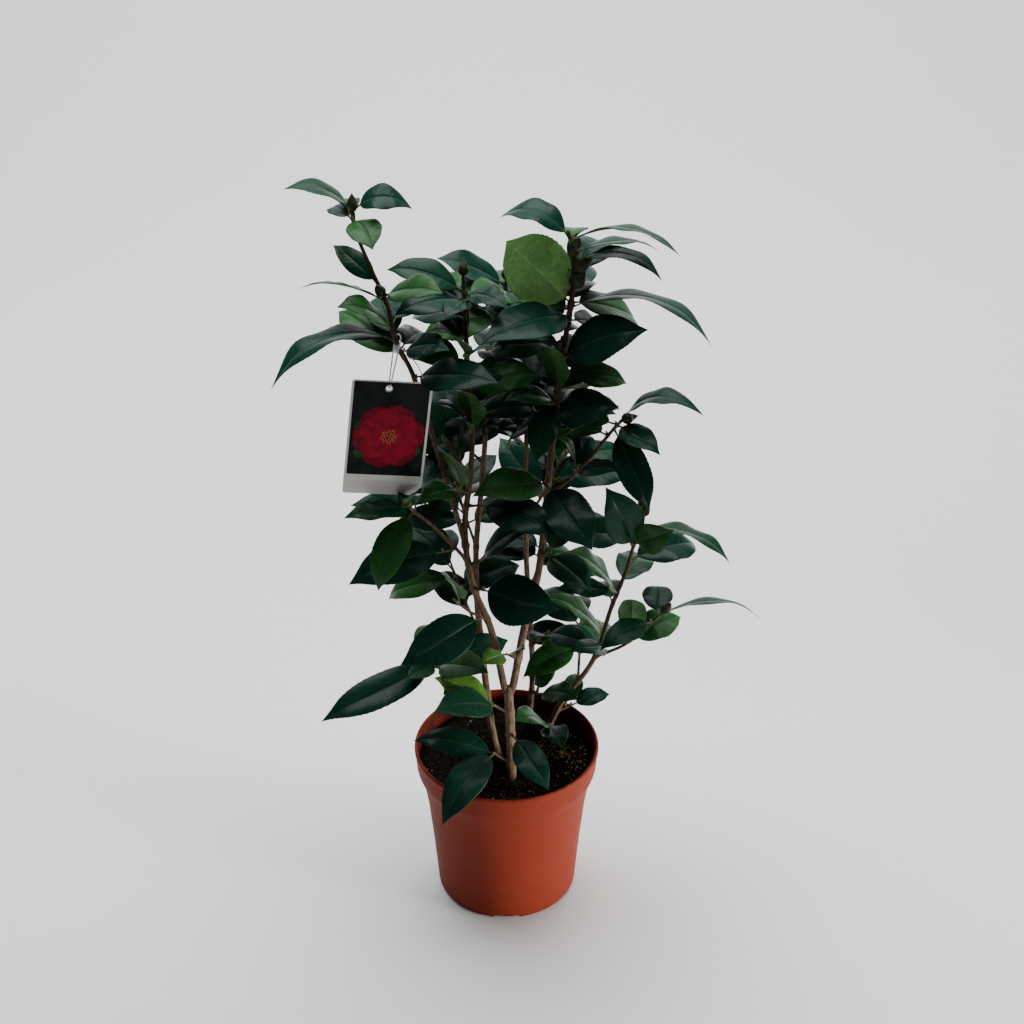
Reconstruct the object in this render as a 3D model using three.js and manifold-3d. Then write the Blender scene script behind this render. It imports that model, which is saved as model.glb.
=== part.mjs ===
// A young camellia shrub in a round nursery pot, with a hanging picture label.
// Millimetres, +Z up. The origin is the centre of the pot's flat underside, and the plant is
// seen from the front by looking along +Y. Bearings are in degrees from +X, turning towards +Y.
import * as THREE from "three";
import { mergeVertices } from "three/addons/utils/BufferGeometryUtils.js";
import Module from "manifold-3d";

const wasm = await Module();
wasm.setup();

// Clearance between neighbouring solids, and the extra room that each leaf keeps to others.
const GAP = 0.3;
const LEAF_ROOM = 0.4;

// Pot
const POT_HEIGHT = 158;
const RIM_RADIUS = 85;
const RIM_BAND = 24;
const RIM_BAND_TAPER = 2;
const SHOULDER_RADIUS = 77;
const SHOULDER_DROP = 34;
const LEDGE_DROPS = [58, 92];
const LEDGE_RADII = [73.5, 70];
const LEDGE_STEP = 0.9;
const BASE_RADIUS = 65;
const BASE_ROUND = 2.5;
const POT_WALL = 1.8;
const RIM_ROUND = 1;
const RIM_LIP = 0.6;
const INNER_FOOT_RISE = 4;
const INNER_FOOT_STEP = 3;
const SOIL_FOOT_ROOM = 3.6;
const SOIL_FOOT_STEP = 2;
const SOIL_FOOT_RISE = 5;
const FOOT_THICKNESS = 6;
const NOTCH_COUNT = 6;
const NOTCH_WIDTH = 22;
const NOTCH_HEIGHT = 4;
const NOTCH_DEPTH = 4;
const POT_SIDES = 32;

// Soil
const SOIL_TOP = 141;
const SOIL_SIDES = 16;

// Leaves: shares are of the leaf's length or half width.
const PETIOLE_LENGTH = 7;
const PETIOLE_RADIUS = 0.9;
const LEAF_THICKNESS_SHARE = 0.02;
const LEAF_LEAST_THICKNESS = 1.4;
const LEAF_WIDE = 0.45;
const LEAF_ARCH = 0.09;
const LEAF_FOLD = 0.22;
const LEAF_FACING = 28;
const BLADE_STATIONS = [0, 0.34, 0.72];
const BLADE_WIDTHS = [0.1, 0.95, 0.76];

// Twigs, limbs and buds
const TWIG_SIDES = 3;
const LIMB_SIDES = 8;
const LIMB_STEP = 30;
const TWIG_STEP = 34;
const START_STEPS = [0.2, 0.05];
const FLARE_HEIGHT = 14;
const FLARE_SHARE = 0.7;
const BUD_SIDES = 5;
const BUD_STATIONS = [0.3, 0.65];
const BUD_WIDTHS = [1, 0.75];
const BUD_RADIUS_SHARE = 0.28;

// The rule for leaves that no list names: a turn from each to the next, within a fan.
const LEAF_TURN = 137.5;
const RULE_FAN = 170;
const RULE_RISE = [-25, 18];
const RULE_LENGTH = [52, 78];
const RULE_TWIG_SHARES = [0.3, 1.02];
const RULE_HEIGHT_SPREAD = 0.4;
const RULE_WIDTHS = [0.85, 1.2];
const RULE_ARCHES = [0.4, 2];
const FIRST_SEED = 101;
const SEED_STEP = 17;

// Turns of bearing and rise that are tried, in order, where a leaf would touch something.
const NUDGES = [
  [0, 0], [10, 0], [-10, 0], [0, 10], [0, -10], [18, 8], [-18, 8], [18, -8], [-18, -8],
  [30, 0], [-30, 0], [0, 22], [0, -22], [30, 22], [-30, 22], [30, -22], [-30, -22],
];

// Label
const LABEL_WIDTH = 65;
const LABEL_HEIGHT = 104;
const LABEL_THICKNESS = 1;
const LABEL_CORNER = 2.5;
const LABEL_HOLE_RADIUS = 2.6;
const LABEL_HOLE_DROP = 6.5;
const LABEL_HOLE_INSET = 30;
const LABEL_HOLE = [-93, -54, 555];
const LABEL_TILT = 7;
const LABEL_YAW = 7.5;
const TIE_RADIUS = 0.6;
const TIE_LOOP_RADIUS = 4;
const TIE_HEIGHT = 588;
const TIE_RISE = 4;
const TIE_SIDES = 4;
const TIE_STEPS = 14;
const TIE_LOWER_ROOM = 1.6;

const BARK = 0x6b4a36;
const LEAF_GREEN = 0x1c4630;
const POT_RED = 0xb9512f;
const SOIL_BROWN = 0x1f1813;
const LABEL_PAPER = 0xc9c9c4;
const TIE_WHITE = 0xe8e8e4;

// A leaf: height of its root on the stem, bearing, rise, length, and what differs from the usual.
const leaf = (height, bearing, rise, length, more = {}) => ({ height, bearing, rise, length, ...more });
const bud = (height, bearing, rise, length = 12) => ({ height, bearing, rise, length });

// Each shoot has a path from its foot. Up to its split height it is a bare limb, and above that
// it is the stem of a mass of foliage. A shoot with a foot on another starts clear of that one.
const SHOOTS = [
  {
    name: "main_stem", radii: [4.3, 4], flare: true, bare: true,
    path: [[5, -43, SOIL_TOP + GAP], [4, -42, 193], [2, -36, 246]],
  },
  {
    name: "left_cane", radii: [3.3, 1.6], split: 486,
    path: [
      [-1.8, -36, 247.4], [-13, -30, 304], [-29, -28, 351], [-35, -25, 404], [-30, -22, 456],
      [-28, -20, 493], [-31, -18, 536], [-32, -15, 583], [-34, -11, 634],
    ],
    leaves: [
      leaf(619, 178, 19, 64, { arch: 0.14 }), leaf(613, 219, 8, 68), leaf(617, 312, 10, 52),
      leaf(612, 253, 0, 46), leaf(563, 234, 47, 62, { wide: 0.5 }), leaf(561, 300, 58, 50),
      leaf(516, 57, 45, 48, { wide: 0.6 }), leaf(495, 228, 48, 62), leaf(497, 268, 57, 60),
    ],
    fill: { from: 500, to: 626, count: 6, facing: 80 },
    buds: [bud(606, 285, 45, 14), bud(633, 80, 75, 12)],
  },
  {
    name: "right_cane", radii: [3.6, 1.6], split: 486,
    path: [
      [5.8, -35.6, 247.4], [17, -25, 311], [28, -15, 356], [34, -8, 420], [40, -2, 490],
      [46, 0, 553], [53, 0, 607], [54, 0, 646], [49, 0, 668],
    ],
    leaves: [
      leaf(657, 161, 14, 62, { wide: 0.5, arch: 0.3, roll: -12 }),
      leaf(659, 340, 2, 90, { arch: 0.16, wide: 0.34, roll: -16 }),
      leaf(648, 17, -2, 72, { wide: 0.36, roll: -12 }),
      leaf(640, 339, 2, 74, { arch: 0.17, wide: 0.38, roll: -2 }),
      leaf(604, 200, 48, 86, { wide: 0.64, roll: 100, arch: 0.04 }),
      leaf(593, 213, 7, 94), leaf(556, 332, 30, 84, { wide: 0.48, roll: 52 }),
      leaf(600, 338, -2, 120, { arch: 0.17, wide: 0.3, roll: -12 }), leaf(605, 35, -28, 84),
      leaf(589, 47, -34, 72), leaf(523, 33, 22, 50, { wide: 0.3 }), leaf(524, 242, 66, 64),
      leaf(503, 322, 26, 66, { wide: 0.54, roll: 48 }), leaf(518, 256, -40, 58), leaf(513, 221, 25, 60),
    ],
    fill: { from: 498, to: 634, count: 7, facing: 90 },
    buds: [
      bud(660, 200, 55, 16), bud(653, 300, 50, 13), bud(633, 340, 50, 17), bud(618, 330, 60, 18),
      bud(607, 200, 20, 13), bud(584, 250, 40, 12),
    ],
  },
  {
    name: "far_left_bough", on: "left_cane", at: 388, radii: [2.4, 1.3], split: 540,
    path: [
      [-35.5, -26, 388], [-46, -29, 440], [-60, -34, 500], [-74, -38, 557], [-87, -42, 590],
      [-93, -40, 621], [-105, -35, 650], [-116, -31, 679], [-118, -30, 696],
    ],
    leaves: [
      leaf(693, 192, 28, 58, { arch: 0.2, wide: 0.46, roll: -6 }),
      leaf(695, 0, 7, 46, { arch: 0.34, wide: 0.55 }),
      leaf(690, 292, -8, 46, { wide: 0.6 }), leaf(688, 120, -4, 42), leaf(694, 100, -2, 36),
      leaf(636, 150, 33, 50, { wide: 0.4 }), leaf(628, 323, 20, 62, { wide: 0.5 }),
      leaf(624, 178, 12, 68, { wide: 0.34, roll: 25 }), leaf(600, 220, 38, 62, { wide: 0.55 }),
      leaf(591, 208, -4, 108, { arch: 0.19, wide: 0.32, roll: 4 }),
      leaf(586, 308, 46, 58, { wide: 0.6 }), leaf(580, 330, 20, 46, { wide: 0.6 }),
      leaf(556, 332, 12, 78, { wide: 0.46 }),
    ],
    fill: { from: 572, to: 612, count: 3, facing: 95 },
    buds: [bud(630, 240, 50, 12), bud(696, 150, 80, 12)],
  },
  {
    name: "rear_left_cane", radii: [3.6, 1.5], flare: true, split: 462,
    path: [
      [-8, 0, SOIL_TOP + GAP], [-15, 5, 185], [-25, 20, 281], [-27, 30, 346], [-21, 40, 416],
      [-14, 45, 502], [-4, 45, 548], [0, 45, 604],
    ],
    leaves: [
      leaf(598, 196, 31, 66, { wide: 0.5 }), leaf(572, 270, -8, 48), leaf(548, 214, 62, 44),
      leaf(474, 328, 62, 66, { wide: 0.5 }),
    ],
    fill: { from: 478, to: 600, count: 9, facing: 110 },
    buds: [bud(604, 60, 80)],
  },
  {
    name: "rear_cane", radii: [3, 1.4], flare: true, split: 430,
    path: [
      [20, 45, SOIL_TOP + GAP], [24, 45, 210], [18, 50, 326], [17, 55, 407], [19, 55, 472],
      [28, 55, 520], [26, 53, 590],
    ],
    leaves: [leaf(503, 229, 33, 52), leaf(440, 216, 40, 58, { wide: 0.5 }), leaf(462, 230, 17, 42)],
    fill: { from: 446, to: 586, count: 10, facing: 70 },
    buds: [bud(590, 100, 80)],
  },
  {
    name: "right_bough", radii: [2.8, 1.3], flare: true, split: 258,
    path: [
      [36, 33, SOIL_TOP + GAP], [52, 25, 188], [73, 15, 229], [84, 5, 264], [92, 0, 305],
      [105, -5, 352], [113, -5, 392], [117, -5, 414],
    ],
    leaves: [
      leaf(376, 212, 66, 72, { wide: 0.5, roll: -100 }), leaf(378, 317, 58, 50, { wide: 0.6, roll: 95 }),
      leaf(392, 335, -4, 86, { arch: 0.14, wide: 0.32, roll: -12 }), leaf(322, 213, 52, 84),
      leaf(325, 183, 9, 54, { wide: 0.36 }), leaf(274, 209, 58, 88, { wide: 0.32 }),
    ],
    fill: { from: 300, to: 396, count: 4, facing: 105 },
    buds: [bud(408, 300, 55, 14), bud(413, 80, 70, 12)],
  },
  {
    name: "shoulder_bough", on: "right_cane", at: 428, radii: [1.9, 1.2], split: 470,
    path: [[34.6, -7.2, 428], [52, -8, 443], [69, -10, 464], [86, -15, 492], [98, -16, 508]],
    leaves: [
      leaf(505, 343, 16, 70, { arch: 0.26, wide: 0.38, roll: 2 }), leaf(500, 307, 0, 54),
      leaf(497, 307, -48, 74, { wide: 0.4 }), leaf(501, 150, -10, 44),
    ],
    fill: { from: 482, to: 500, count: 1, facing: 95 },
    buds: [bud(508, 320, 40, 13), bud(506, 10, 10, 11)],
  },
  {
    name: "left_low_bough", on: "left_cane", at: 374, radii: [1.7, 1.2], split: 424,
    path: [[-32.6, -26.6, 374], [-46, -35, 396], [-62, -46, 422], [-76, -54, 440], [-82, -57, 450]],
    leaves: [
      leaf(446, 202, 4, 56, { wide: 0.36 }), leaf(441, 231, -48, 72, { wide: 0.42 }),
      leaf(447, 300, 50, 32, { wide: 0.6 }),
    ],
    fill: { from: 432, to: 446, count: 2, facing: 110 },
    buds: [bud(449, 200, 60, 12)],
  },
  {
    name: "right_side_shoot", on: "right_bough", at: 248, radii: [1.5, 1.1], split: 0,
    path: [[78.6, 9.6, 248], [106, -5, 272], [123, -10, 294], [137, -15, 312]],
    leaves: [
      leaf(277, 266, 72, 64, { wide: 0.4 }), leaf(307, 90, 8, 46, { wide: 0.6 }),
      leaf(311, 3, 1, 86, { arch: 0.12, wide: 0.26, roll: -22 }), leaf(301, 220, 0, 60, { wide: 0.4 }),
      leaf(258, 224, 30, 54, { wide: 0.4 }),
    ],
    fill: { from: 272, to: 300, count: 2, facing: 90 },
    buds: [bud(312, 330, 60, 13)],
  },
  {
    name: "lower_left_shoot", on: "rear_left_cane", at: 208, radii: [1.8, 1.2], split: 0,
    path: [[-17.5, 8.2, 208], [-42, -6, 238], [-60, -18, 256], [-65, -22, 262]],
    leaves: [
      leaf(260, 207, -11, 112, { wide: 0.3, arch: 0.06 }), leaf(258, 318, 22, 66, { wide: 0.5 }),
      leaf(256, 208, 4, 40), leaf(228, 237, 16, 42), leaf(262, 100, 10, 56),
    ],
    fill: { from: 230, to: 258, count: 3, facing: 110 },
    buds: [bud(262, 250, 70, 12)],
  },
];

// Short leafy twigs straight off a limb: limb, height on it, bearing, rise and length of the
// twig, then its leaves, whose height is a share of the twig's length.
const twig = (name, on, at, bearing, rise, length, leaves, count = 0, facing = bearing) => ({
  name, on, at, bearing, rise, length, leaves, count, facing,
});
const TWIGS = [
  twig("left_upper_twig", "left_cane", 440, 232, 35, 14, [
    leaf(0.6, 238, 50, 68, { wide: 0.5 }), leaf(0.9, 221, 17, 48, { wide: 0.55 }),
  ]),
  twig("left_inner_twig", "left_cane", 428, 325, 20, 12, [
    leaf(0.9, 334, -6, 72, { wide: 0.5 }),
  ]),
  twig("left_middle_twig", "left_cane", 370, 335, 35, 12, [leaf(0.9, 340, 44, 60)]),
  twig("left_low_twig", "left_low_bough", 392, 215, 0, 10, [
    leaf(0.9, 205, -5, 86, { wide: 0.44, roll: -40 }),
  ]),
  twig("left_green_twig", "left_cane", 316, 222, 45, 52, [
    leaf(0.15, 214, -12, 84, { wide: 0.46, roll: -45 }), leaf(0.8, 236, 62, 50, { wide: 0.5 }),
  ], 1, 95),
  twig("centre_low_twig", "left_cane", 348, 312, 15, 9, [
    leaf(0.9, 332, 3, 72, { wide: 0.62, roll: 50 }),
  ]),
  twig("centre_front_twig", "right_cane", 440, 262, 20, 13, [
    leaf(0.35, 213, 12, 74, { wide: 0.5 }), leaf(0.8, 306, -24, 70, { wide: 0.6 }),
  ]),
  twig("right_middle_twig", "right_cane", 372, 300, 30, 12, [
    leaf(0.7, 316, -3, 62, { wide: 0.5 }), leaf(0.9, 30, 60, 50, { wide: 0.6 }),
  ]),
  twig("right_fork_twig", "right_cane", 276, 215, 35, 12, [
    leaf(0.9, 228, 15, 34, { wide: 0.6 }), leaf(0.5, 300, 45, 30, { wide: 0.5 }),
  ]),
  twig("shoulder_twig", "shoulder_bough", 446, 300, 50, 14, [
    leaf(0.6, 318, 26, 52), leaf(0.9, 200, 66, 42, { wide: 0.4 }), leaf(0.8, 75, 20, 46),
  ]),
  twig("foot_left_twig", "main_stem", 168, 190, 40, 14, [
    leaf(0.8, 176, 11, 76, { wide: 0.36 }), leaf(0.95, 233, -22, 82, { wide: 0.4, arch: 0.2 }),
  ]),
  twig("foot_right_twig", "main_stem", 200, 280, 30, 8, [
    leaf(0.9, 304, -22, 60, { wide: 0.46 }),
  ]),
  twig("stem_left_twig", "main_stem", 222, 205, 40, 14, [
    leaf(0.8, 215, 20, 68, { wide: 0.5 }), leaf(0.95, 180, 25, 58),
  ]),
  twig("rear_foot_twig", "rear_cane", 184, 300, 20, 10, [
    leaf(0.9, 334, 14, 52, { wide: 0.5 }), leaf(0.5, 20, 60, 36),
  ], 1, 60),
  twig("right_foot_front_twig", "right_bough", 157, 250, 25, 10, [
    leaf(0.7, 232, 38, 60, { wide: 0.5 }), leaf(0.9, 287, 14, 50, { wide: 0.5 }),
  ]),
  twig("rear_low_twig", "rear_cane", 236, 325, 50, 24, [
    leaf(0.3, 327, 20, 48, { wide: 0.36 }), leaf(0.9, 318, 12, 52, { wide: 0.5 }),
    leaf(0.7, 250, 30, 34),
  ], 1, 60),
  twig("right_foot_twig", "right_bough", 174, 20, 10, 9, [
    leaf(0.9, 22, 4, 42), leaf(0.6, 75, 15, 44),
  ]),
  twig("back_left_low_shoot", "rear_left_cane", 268, 125, 48, 66, [], 7, 100),
  twig("back_left_middle_shoot", "rear_left_cane", 352, 115, 46, 72, [], 8),
  twig("back_left_high_shoot", "rear_left_cane", 432, 165, 45, 56, [], 7),
  twig("back_right_low_shoot", "rear_cane", 292, 65, 42, 68, [], 8, 75),
  twig("back_right_middle_shoot", "rear_cane", 366, 45, 45, 68, [], 8, 75),
  twig("back_right_high_shoot", "right_cane", 462, 75, 42, 56, [], 6),
  twig("left_back_shoot", "left_cane", 456, 140, 45, 46, [], 6),
  twig("right_low_back_shoot", "right_bough", 214, 85, 48, 54, [], 6, 115),
];

const vector = (point) => new THREE.Vector3(...point);
const radians = THREE.MathUtils.degToRad;

function direction(bearing, rise) {
  const flat = Math.cos(radians(rise));
  return new THREE.Vector3(
    flat * Math.cos(radians(bearing)),
    flat * Math.sin(radians(bearing)),
    Math.sin(radians(rise)),
  );
}

// A repeatable stream of numbers between 0 and 1.
const RANDOM_FACTOR = 16807;
const RANDOM_MODULUS = 2147483647;
function seededRandom(seed) {
  let state = (seed * RANDOM_FACTOR) % RANDOM_MODULUS;
  return () => {
    state = (state * RANDOM_FACTOR) % RANDOM_MODULUS;
    return state / RANDOM_MODULUS;
  };
}

// The point at a share of a smooth path through the given points.
function pathPoint(points, share) {
  const spans = points.length - 1;
  const scaled = Math.min(Math.max(share, 0), 1) * spans;
  const span = Math.min(Math.floor(scaled), spans - 1);
  const t = scaled - span;
  const a = points[span];
  const b = points[span + 1];
  const before = span > 0 ? points[span - 1] : a.clone().multiplyScalar(2).sub(b);
  const after = span < spans - 1 ? points[span + 2] : b.clone().multiplyScalar(2).sub(a);
  const blend = (p, q, r, s) =>
    0.5 * (2 * q + (r - p) * t + (2 * p - 5 * q + 4 * r - s) * t * t + (3 * q - p - 3 * r + s) * t * t * t);
  return new THREE.Vector3(
    blend(before.x, a.x, b.x, after.x),
    blend(before.y, a.y, b.y, after.y),
    blend(before.z, a.z, b.z, after.z),
  );
}

function pathTangent(points, share) {
  const step = 0.002;
  return pathPoint(points, share + step).sub(pathPoint(points, share - step)).normalize();
}

// The share of a rising path at which it reaches a height.
function shareAtHeight(points, height) {
  let low = 0;
  let high = 1;
  for (let i = 0; i < 30; i++) {
    const middle = (low + high) / 2;
    if (pathPoint(points, middle).z < height) low = middle;
    else high = middle;
  }
  return (low + high) / 2;
}

// Faces of a closed body from rings of equal size, capped at both ends. A ring of one point is a tip.
function ringFaces(rings) {
  const faces = [];
  const quad = (a, b, c, d) => faces.push([a, b, c], [a, c, d]);
  for (let i = 0; i + 1 < rings.length; i++) {
    const [low, high] = [rings[i], rings[i + 1]];
    const sides = Math.max(low.length, high.length);
    for (let k = 0; k < sides; k++) {
      const next = (k + 1) % sides;
      if (low.length === 1) faces.push([low[0], high[next], high[k]]);
      else if (high.length === 1) faces.push([low[k], low[next], high[0]]);
      else quad(low[k], low[next], high[next], high[k]);
    }
  }
  const first = rings[0];
  const last = rings[rings.length - 1];
  for (let k = 1; k + 1 < first.length; k++) faces.push([first[0], first[k + 1], first[k]]);
  for (let k = 1; k + 1 < last.length; k++) faces.push([last[0], last[k], last[k + 1]]);
  return faces;
}

function closedGeometry(faces) {
  const numbers = faces.flatMap((face) => face.flatMap((p) => [p.x, p.y, p.z]));
  const geometry = new THREE.BufferGeometry();
  geometry.setAttribute("position", new THREE.Float32BufferAttribute(numbers, 3));
  return geometry;
}

function toManifold(geometry, tolerance = 1e-4) {
  const bare = geometry.index ? geometry.toNonIndexed() : geometry.clone();
  bare.deleteAttribute("normal");
  bare.deleteAttribute("uv");
  const merged = mergeVertices(bare, tolerance);
  return new wasm.Manifold(
    new wasm.Mesh({
      numProp: 3,
      vertProperties: merged.attributes.position.array,
      triVerts: new Uint32Array(merged.index.array),
    }),
  );
}

function fromManifold(solid) {
  const mesh = solid.getMesh();
  const geometry = new THREE.BufferGeometry();
  geometry.setAttribute("position", new THREE.BufferAttribute(mesh.vertProperties, 3));
  geometry.setIndex(new THREE.BufferAttribute(mesh.triVerts, 1));
  return geometry;
}

// Two directions square to an axis, the same for every limb so that rings line up.
function acrossAxis(axis) {
  const helper = Math.abs(axis.y) < 0.9 ? new THREE.Vector3(0, 1, 0) : new THREE.Vector3(1, 0, 0);
  const first = new THREE.Vector3().crossVectors(helper, axis).normalize();
  return [first, new THREE.Vector3().crossVectors(axis, first)];
}

function circleRing(centre, axis, radius, sides) {
  const [first, second] = acrossAxis(axis);
  return Array.from({ length: sides }, (_, k) => {
    const angle = (2 * Math.PI * k) / sides;
    return centre
      .clone()
      .addScaledVector(first, radius * Math.cos(angle))
      .addScaledVector(second, radius * Math.sin(angle));
  });
}

// The rings of a tapering limb between two shares of its path.
function limbRings(shoot, from, to, extra, sides, step) {
  const start = pathPoint(shoot.points, from);
  const end = pathPoint(shoot.points, to);
  const count = Math.max(1, Math.round(start.distanceTo(end) / step));
  const shares = Array.from({ length: count + 1 }, (_, i) => from + ((to - from) * i) / count);
  if (shoot.flare && from === 0) shares.splice(1, 0, shareAtHeight(shoot.points, SOIL_TOP + FLARE_HEIGHT));
  return shares.map((share) => {
    const centre = pathPoint(shoot.points, share);
    const standing = shoot.flare && share === 0;
    const axis = standing ? new THREE.Vector3(0, 0, 1) : pathTangent(shoot.points, share);
    return circleRing(centre, axis, radiusAt(shoot, share) + extra, sides);
  });
}

function radiusAt(shoot, share) {
  const [foot, tip] = shoot.radii;
  const flare = shoot.flare && share === 0 ? 1 + FLARE_SHARE : 1;
  return (foot + (tip - foot) * share) * flare;
}

// The rings of one leaf: a petiole from the stem's axis, then a folded, arched blade to a point.
function leafRings(root, spec, extra) {
  const { bearing, rise, length, wide = LEAF_WIDE, arch = LEAF_ARCH } = spec;
  const roll = spec.roll ?? LEAF_FACING * Math.cos(radians(bearing));
  const along = direction(bearing, rise);
  const level = new THREE.Vector3().crossVectors(along, new THREE.Vector3(0, 0, 1)).normalize();
  const upright = new THREE.Vector3().crossVectors(level, along);
  const cos = Math.cos(radians(roll));
  const sin = Math.sin(radians(roll));
  const up = upright.clone().multiplyScalar(cos).addScaledVector(level, sin);
  const side = level.clone().multiplyScalar(cos).addScaledVector(upright, -sin);
  const petiole = PETIOLE_LENGTH / length;
  const thick = Math.max(LEAF_LEAST_THICKNESS, LEAF_THICKNESS_SHARE * length) / 2 + extra;
  const ring = (share, half, depth, fold) => {
    const centre = root
      .clone()
      .addScaledVector(along, length * share)
      .addScaledVector(up, arch * length * 4 * share * (1 - share));
    const edge = (way) =>
      centre.clone().addScaledVector(side, way * half).addScaledVector(up, fold * half);
    const top = centre.clone().addScaledVector(up, depth);
    const bottom = centre.clone().addScaledVector(up, -depth);
    return [edge(-1), top, edge(1), bottom];
  };
  const rings = [ring(0, PETIOLE_RADIUS + extra, PETIOLE_RADIUS + extra, 0)];
  BLADE_STATIONS.forEach((station, i) => {
    const share = petiole + (1 - petiole) * station;
    const half = Math.max((wide * length * BLADE_WIDTHS[i]) / 2, PETIOLE_RADIUS) + extra;
    rings.push(ring(share, half, i === 0 ? PETIOLE_RADIUS + extra : thick, i === 0 ? 0 : LEAF_FOLD));
  });
  rings.push([root.clone().addScaledVector(along, length + extra)]);
  return rings;
}

function budRings(root, spec, extra) {
  const along = direction(spec.bearing, spec.rise);
  const rings = [circleRing(root, along, PETIOLE_RADIUS + extra, BUD_SIDES)];
  BUD_STATIONS.forEach((station, i) => {
    const radius = spec.length * BUD_RADIUS_SHARE * BUD_WIDTHS[i] + extra;
    rings.push(circleRing(root.clone().addScaledVector(along, spec.length * station), along, radius, BUD_SIDES));
  });
  rings.push([root.clone().addScaledVector(along, spec.length + extra)]);
  return rings;
}

// What already stands in space, kept as faces, so that nothing new crosses it.
const standing = [];

function solidItem(owner, faces) {
  const box = new THREE.Box3().setFromPoints(faces.flat());
  const edges = faces.flatMap(([a, b, c]) => [[a, b], [b, c], [c, a]]);
  return { owner, faces, edges, box };
}

function edgeCrossesFace([from, to], [a, b, c]) {
  const way = to.clone().sub(from);
  const ab = b.clone().sub(a);
  const ac = c.clone().sub(a);
  const normal = new THREE.Vector3().crossVectors(way, ac);
  const scale = ab.dot(normal);
  if (Math.abs(scale) < 1e-9) return false;
  const offset = from.clone().sub(a);
  const u = offset.dot(normal) / scale;
  if (u < 0 || u > 1) return false;
  const turned = new THREE.Vector3().crossVectors(offset, ab);
  const v = way.dot(turned) / scale;
  if (v < 0 || u + v > 1) return false;
  const along = ac.dot(turned) / scale;
  return along >= 0 && along <= 1;
}

function itemsCross(one, other) {
  if (!one.box.intersectsBox(other.box)) return false;
  const pierces = (edges, item) =>
    edges.some(([from, to]) => {
      const reach = new THREE.Box3().setFromPoints([from, to]);
      return reach.intersectsBox(item.box) && item.faces.some((face) => edgeCrossesFace([from, to], face));
    });
  return pierces(one.edges, other) || pierces(other.edges, one);
}

// Whether a part of a leaf would run into the pot's wall or the soil.
const RIM_ROOM = 1.5;
function meetsPot(faces) {
  return faces.flat().some((point) => {
    const fromAxis = Math.hypot(point.x, point.y);
    if (fromAxis > RIM_RADIUS + RIM_ROOM) return point.z < RIM_ROOM;
    const floor = fromAxis > RIM_RADIUS - 10 ? POT_HEIGHT : SOIL_TOP;
    return point.z < floor + RIM_ROOM;
  });
}

// A leaf that passes over the rim is tested at points along its edges as well.
function splitEdges(faces) {
  return faces.map(([a, b, c]) => [a, b, c, a.clone().lerp(b, 0.5), b.clone().lerp(c, 0.5), c.clone().lerp(a, 0.5)]);
}

// The spec turned by the first nudge that keeps the leaf clear, or null where none does.
function placed(owner, root, spec, rings) {
  for (const [turn, lift] of NUDGES) {
    const tried = { ...spec, bearing: spec.bearing + turn, rise: spec.rise + lift };
    const whole = rings(root, tried, LEAF_ROOM);
    const faces = ringFaces(whole);
    if (meetsPot(splitEdges(faces))) continue;
    const item = solidItem(owner, faces);
    const blade = solidItem(owner, ringFaces(whole.slice(1)));
    const outer = solidItem(owner, ringFaces(whole.slice(2)));
    const blocked = standing.some((other) => {
      if (other.owner !== owner) return itemsCross(item, other);
      return other.blade ? itemsCross(blade, other.blade) : itemsCross(outer, other);
    });
    if (blocked) continue;
    standing.push({ ...item, blade });
    return tried;
  }
  return null;
}

function addTubeItems(owner, rings) {
  for (let i = 0; i + 1 < rings.length; i++) {
    standing.push(solidItem(owner, ringFaces([rings[i], rings[i + 1]])));
  }
}

// How near a ring's corners and the middles of its edges come to a set of faces.
function nearestTo(faces, ring) {
  const middles = ring.map((point, k) => point.clone().lerp(ring[(k + 1) % ring.length], 0.5));
  const triangles = faces.map(([a, b, c]) => new THREE.Triangle(a, b, c));
  const reach = (point) =>
    Math.min(...triangles.map((face) => face.closestPointToPoint(point, new THREE.Vector3()).distanceTo(point)));
  return Math.min(...[...ring, ...middles].map(reach));
}

// The first share of a child's path that is clear of the limb that carries it, found from its tip.
function clearStart(parent, child, sides) {
  const faces = ringFaces(limbRings(parent, parent.start, parent.splitShare, 0, LIMB_SIDES, LIMB_STEP));
  const length = child.points[0].distanceTo(child.points[1]) * (child.points.length - 1);
  const clear = (share) => {
    const ring = circleRing(
      pathPoint(child.points, share), pathTangent(child.points, share), radiusAt(child, share), sides,
    );
    return nearestTo(faces, ring) >= GAP;
  };
  let share = 1;
  for (const step of START_STEPS) {
    while (share * length > step && clear(share - step / length)) share -= step / length;
  }
  return share;
}

// Shoots and twigs as paths of vectors, each started clear of what carries it.
const shoots = new Map();

function readyShoot(spec) {
  const shoot = { ...spec, points: spec.path.map(vector), start: 0 };
  if (spec.on) {
    const parent = shoots.get(spec.on);
    shoot.points[0] = pathPoint(parent.points, shareAtHeight(parent.points, spec.at));
    shoot.start = clearStart(parent, shoot, spec.split ? LIMB_SIDES : TWIG_SIDES);
  }
  shoot.splitShare = spec.bare ? 1 : Math.max(shareAtHeight(shoot.points, spec.split), shoot.start);
  if (spec.split === 0) shoot.splitShare = shoot.start;
  shoots.set(spec.name, shoot);
}

const TWIG_RADII = [1.3, 1];
const TWIG_LIFT = 0.12;
function twigShoot(spec) {
  const parent = shoots.get(spec.on);
  const foot = pathPoint(parent.points, shareAtHeight(parent.points, spec.at));
  const way = direction(spec.bearing, spec.rise);
  const end = foot.clone().addScaledVector(way, spec.length + radiusAt(parent, 0));
  const middle = foot.clone().lerp(end, 0.5);
  middle.z -= TWIG_LIFT * spec.length * 0.5;
  return { ...spec, path: [foot, middle, end].map((p) => p.toArray()), radii: TWIG_RADII, split: 0 };
}

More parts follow.
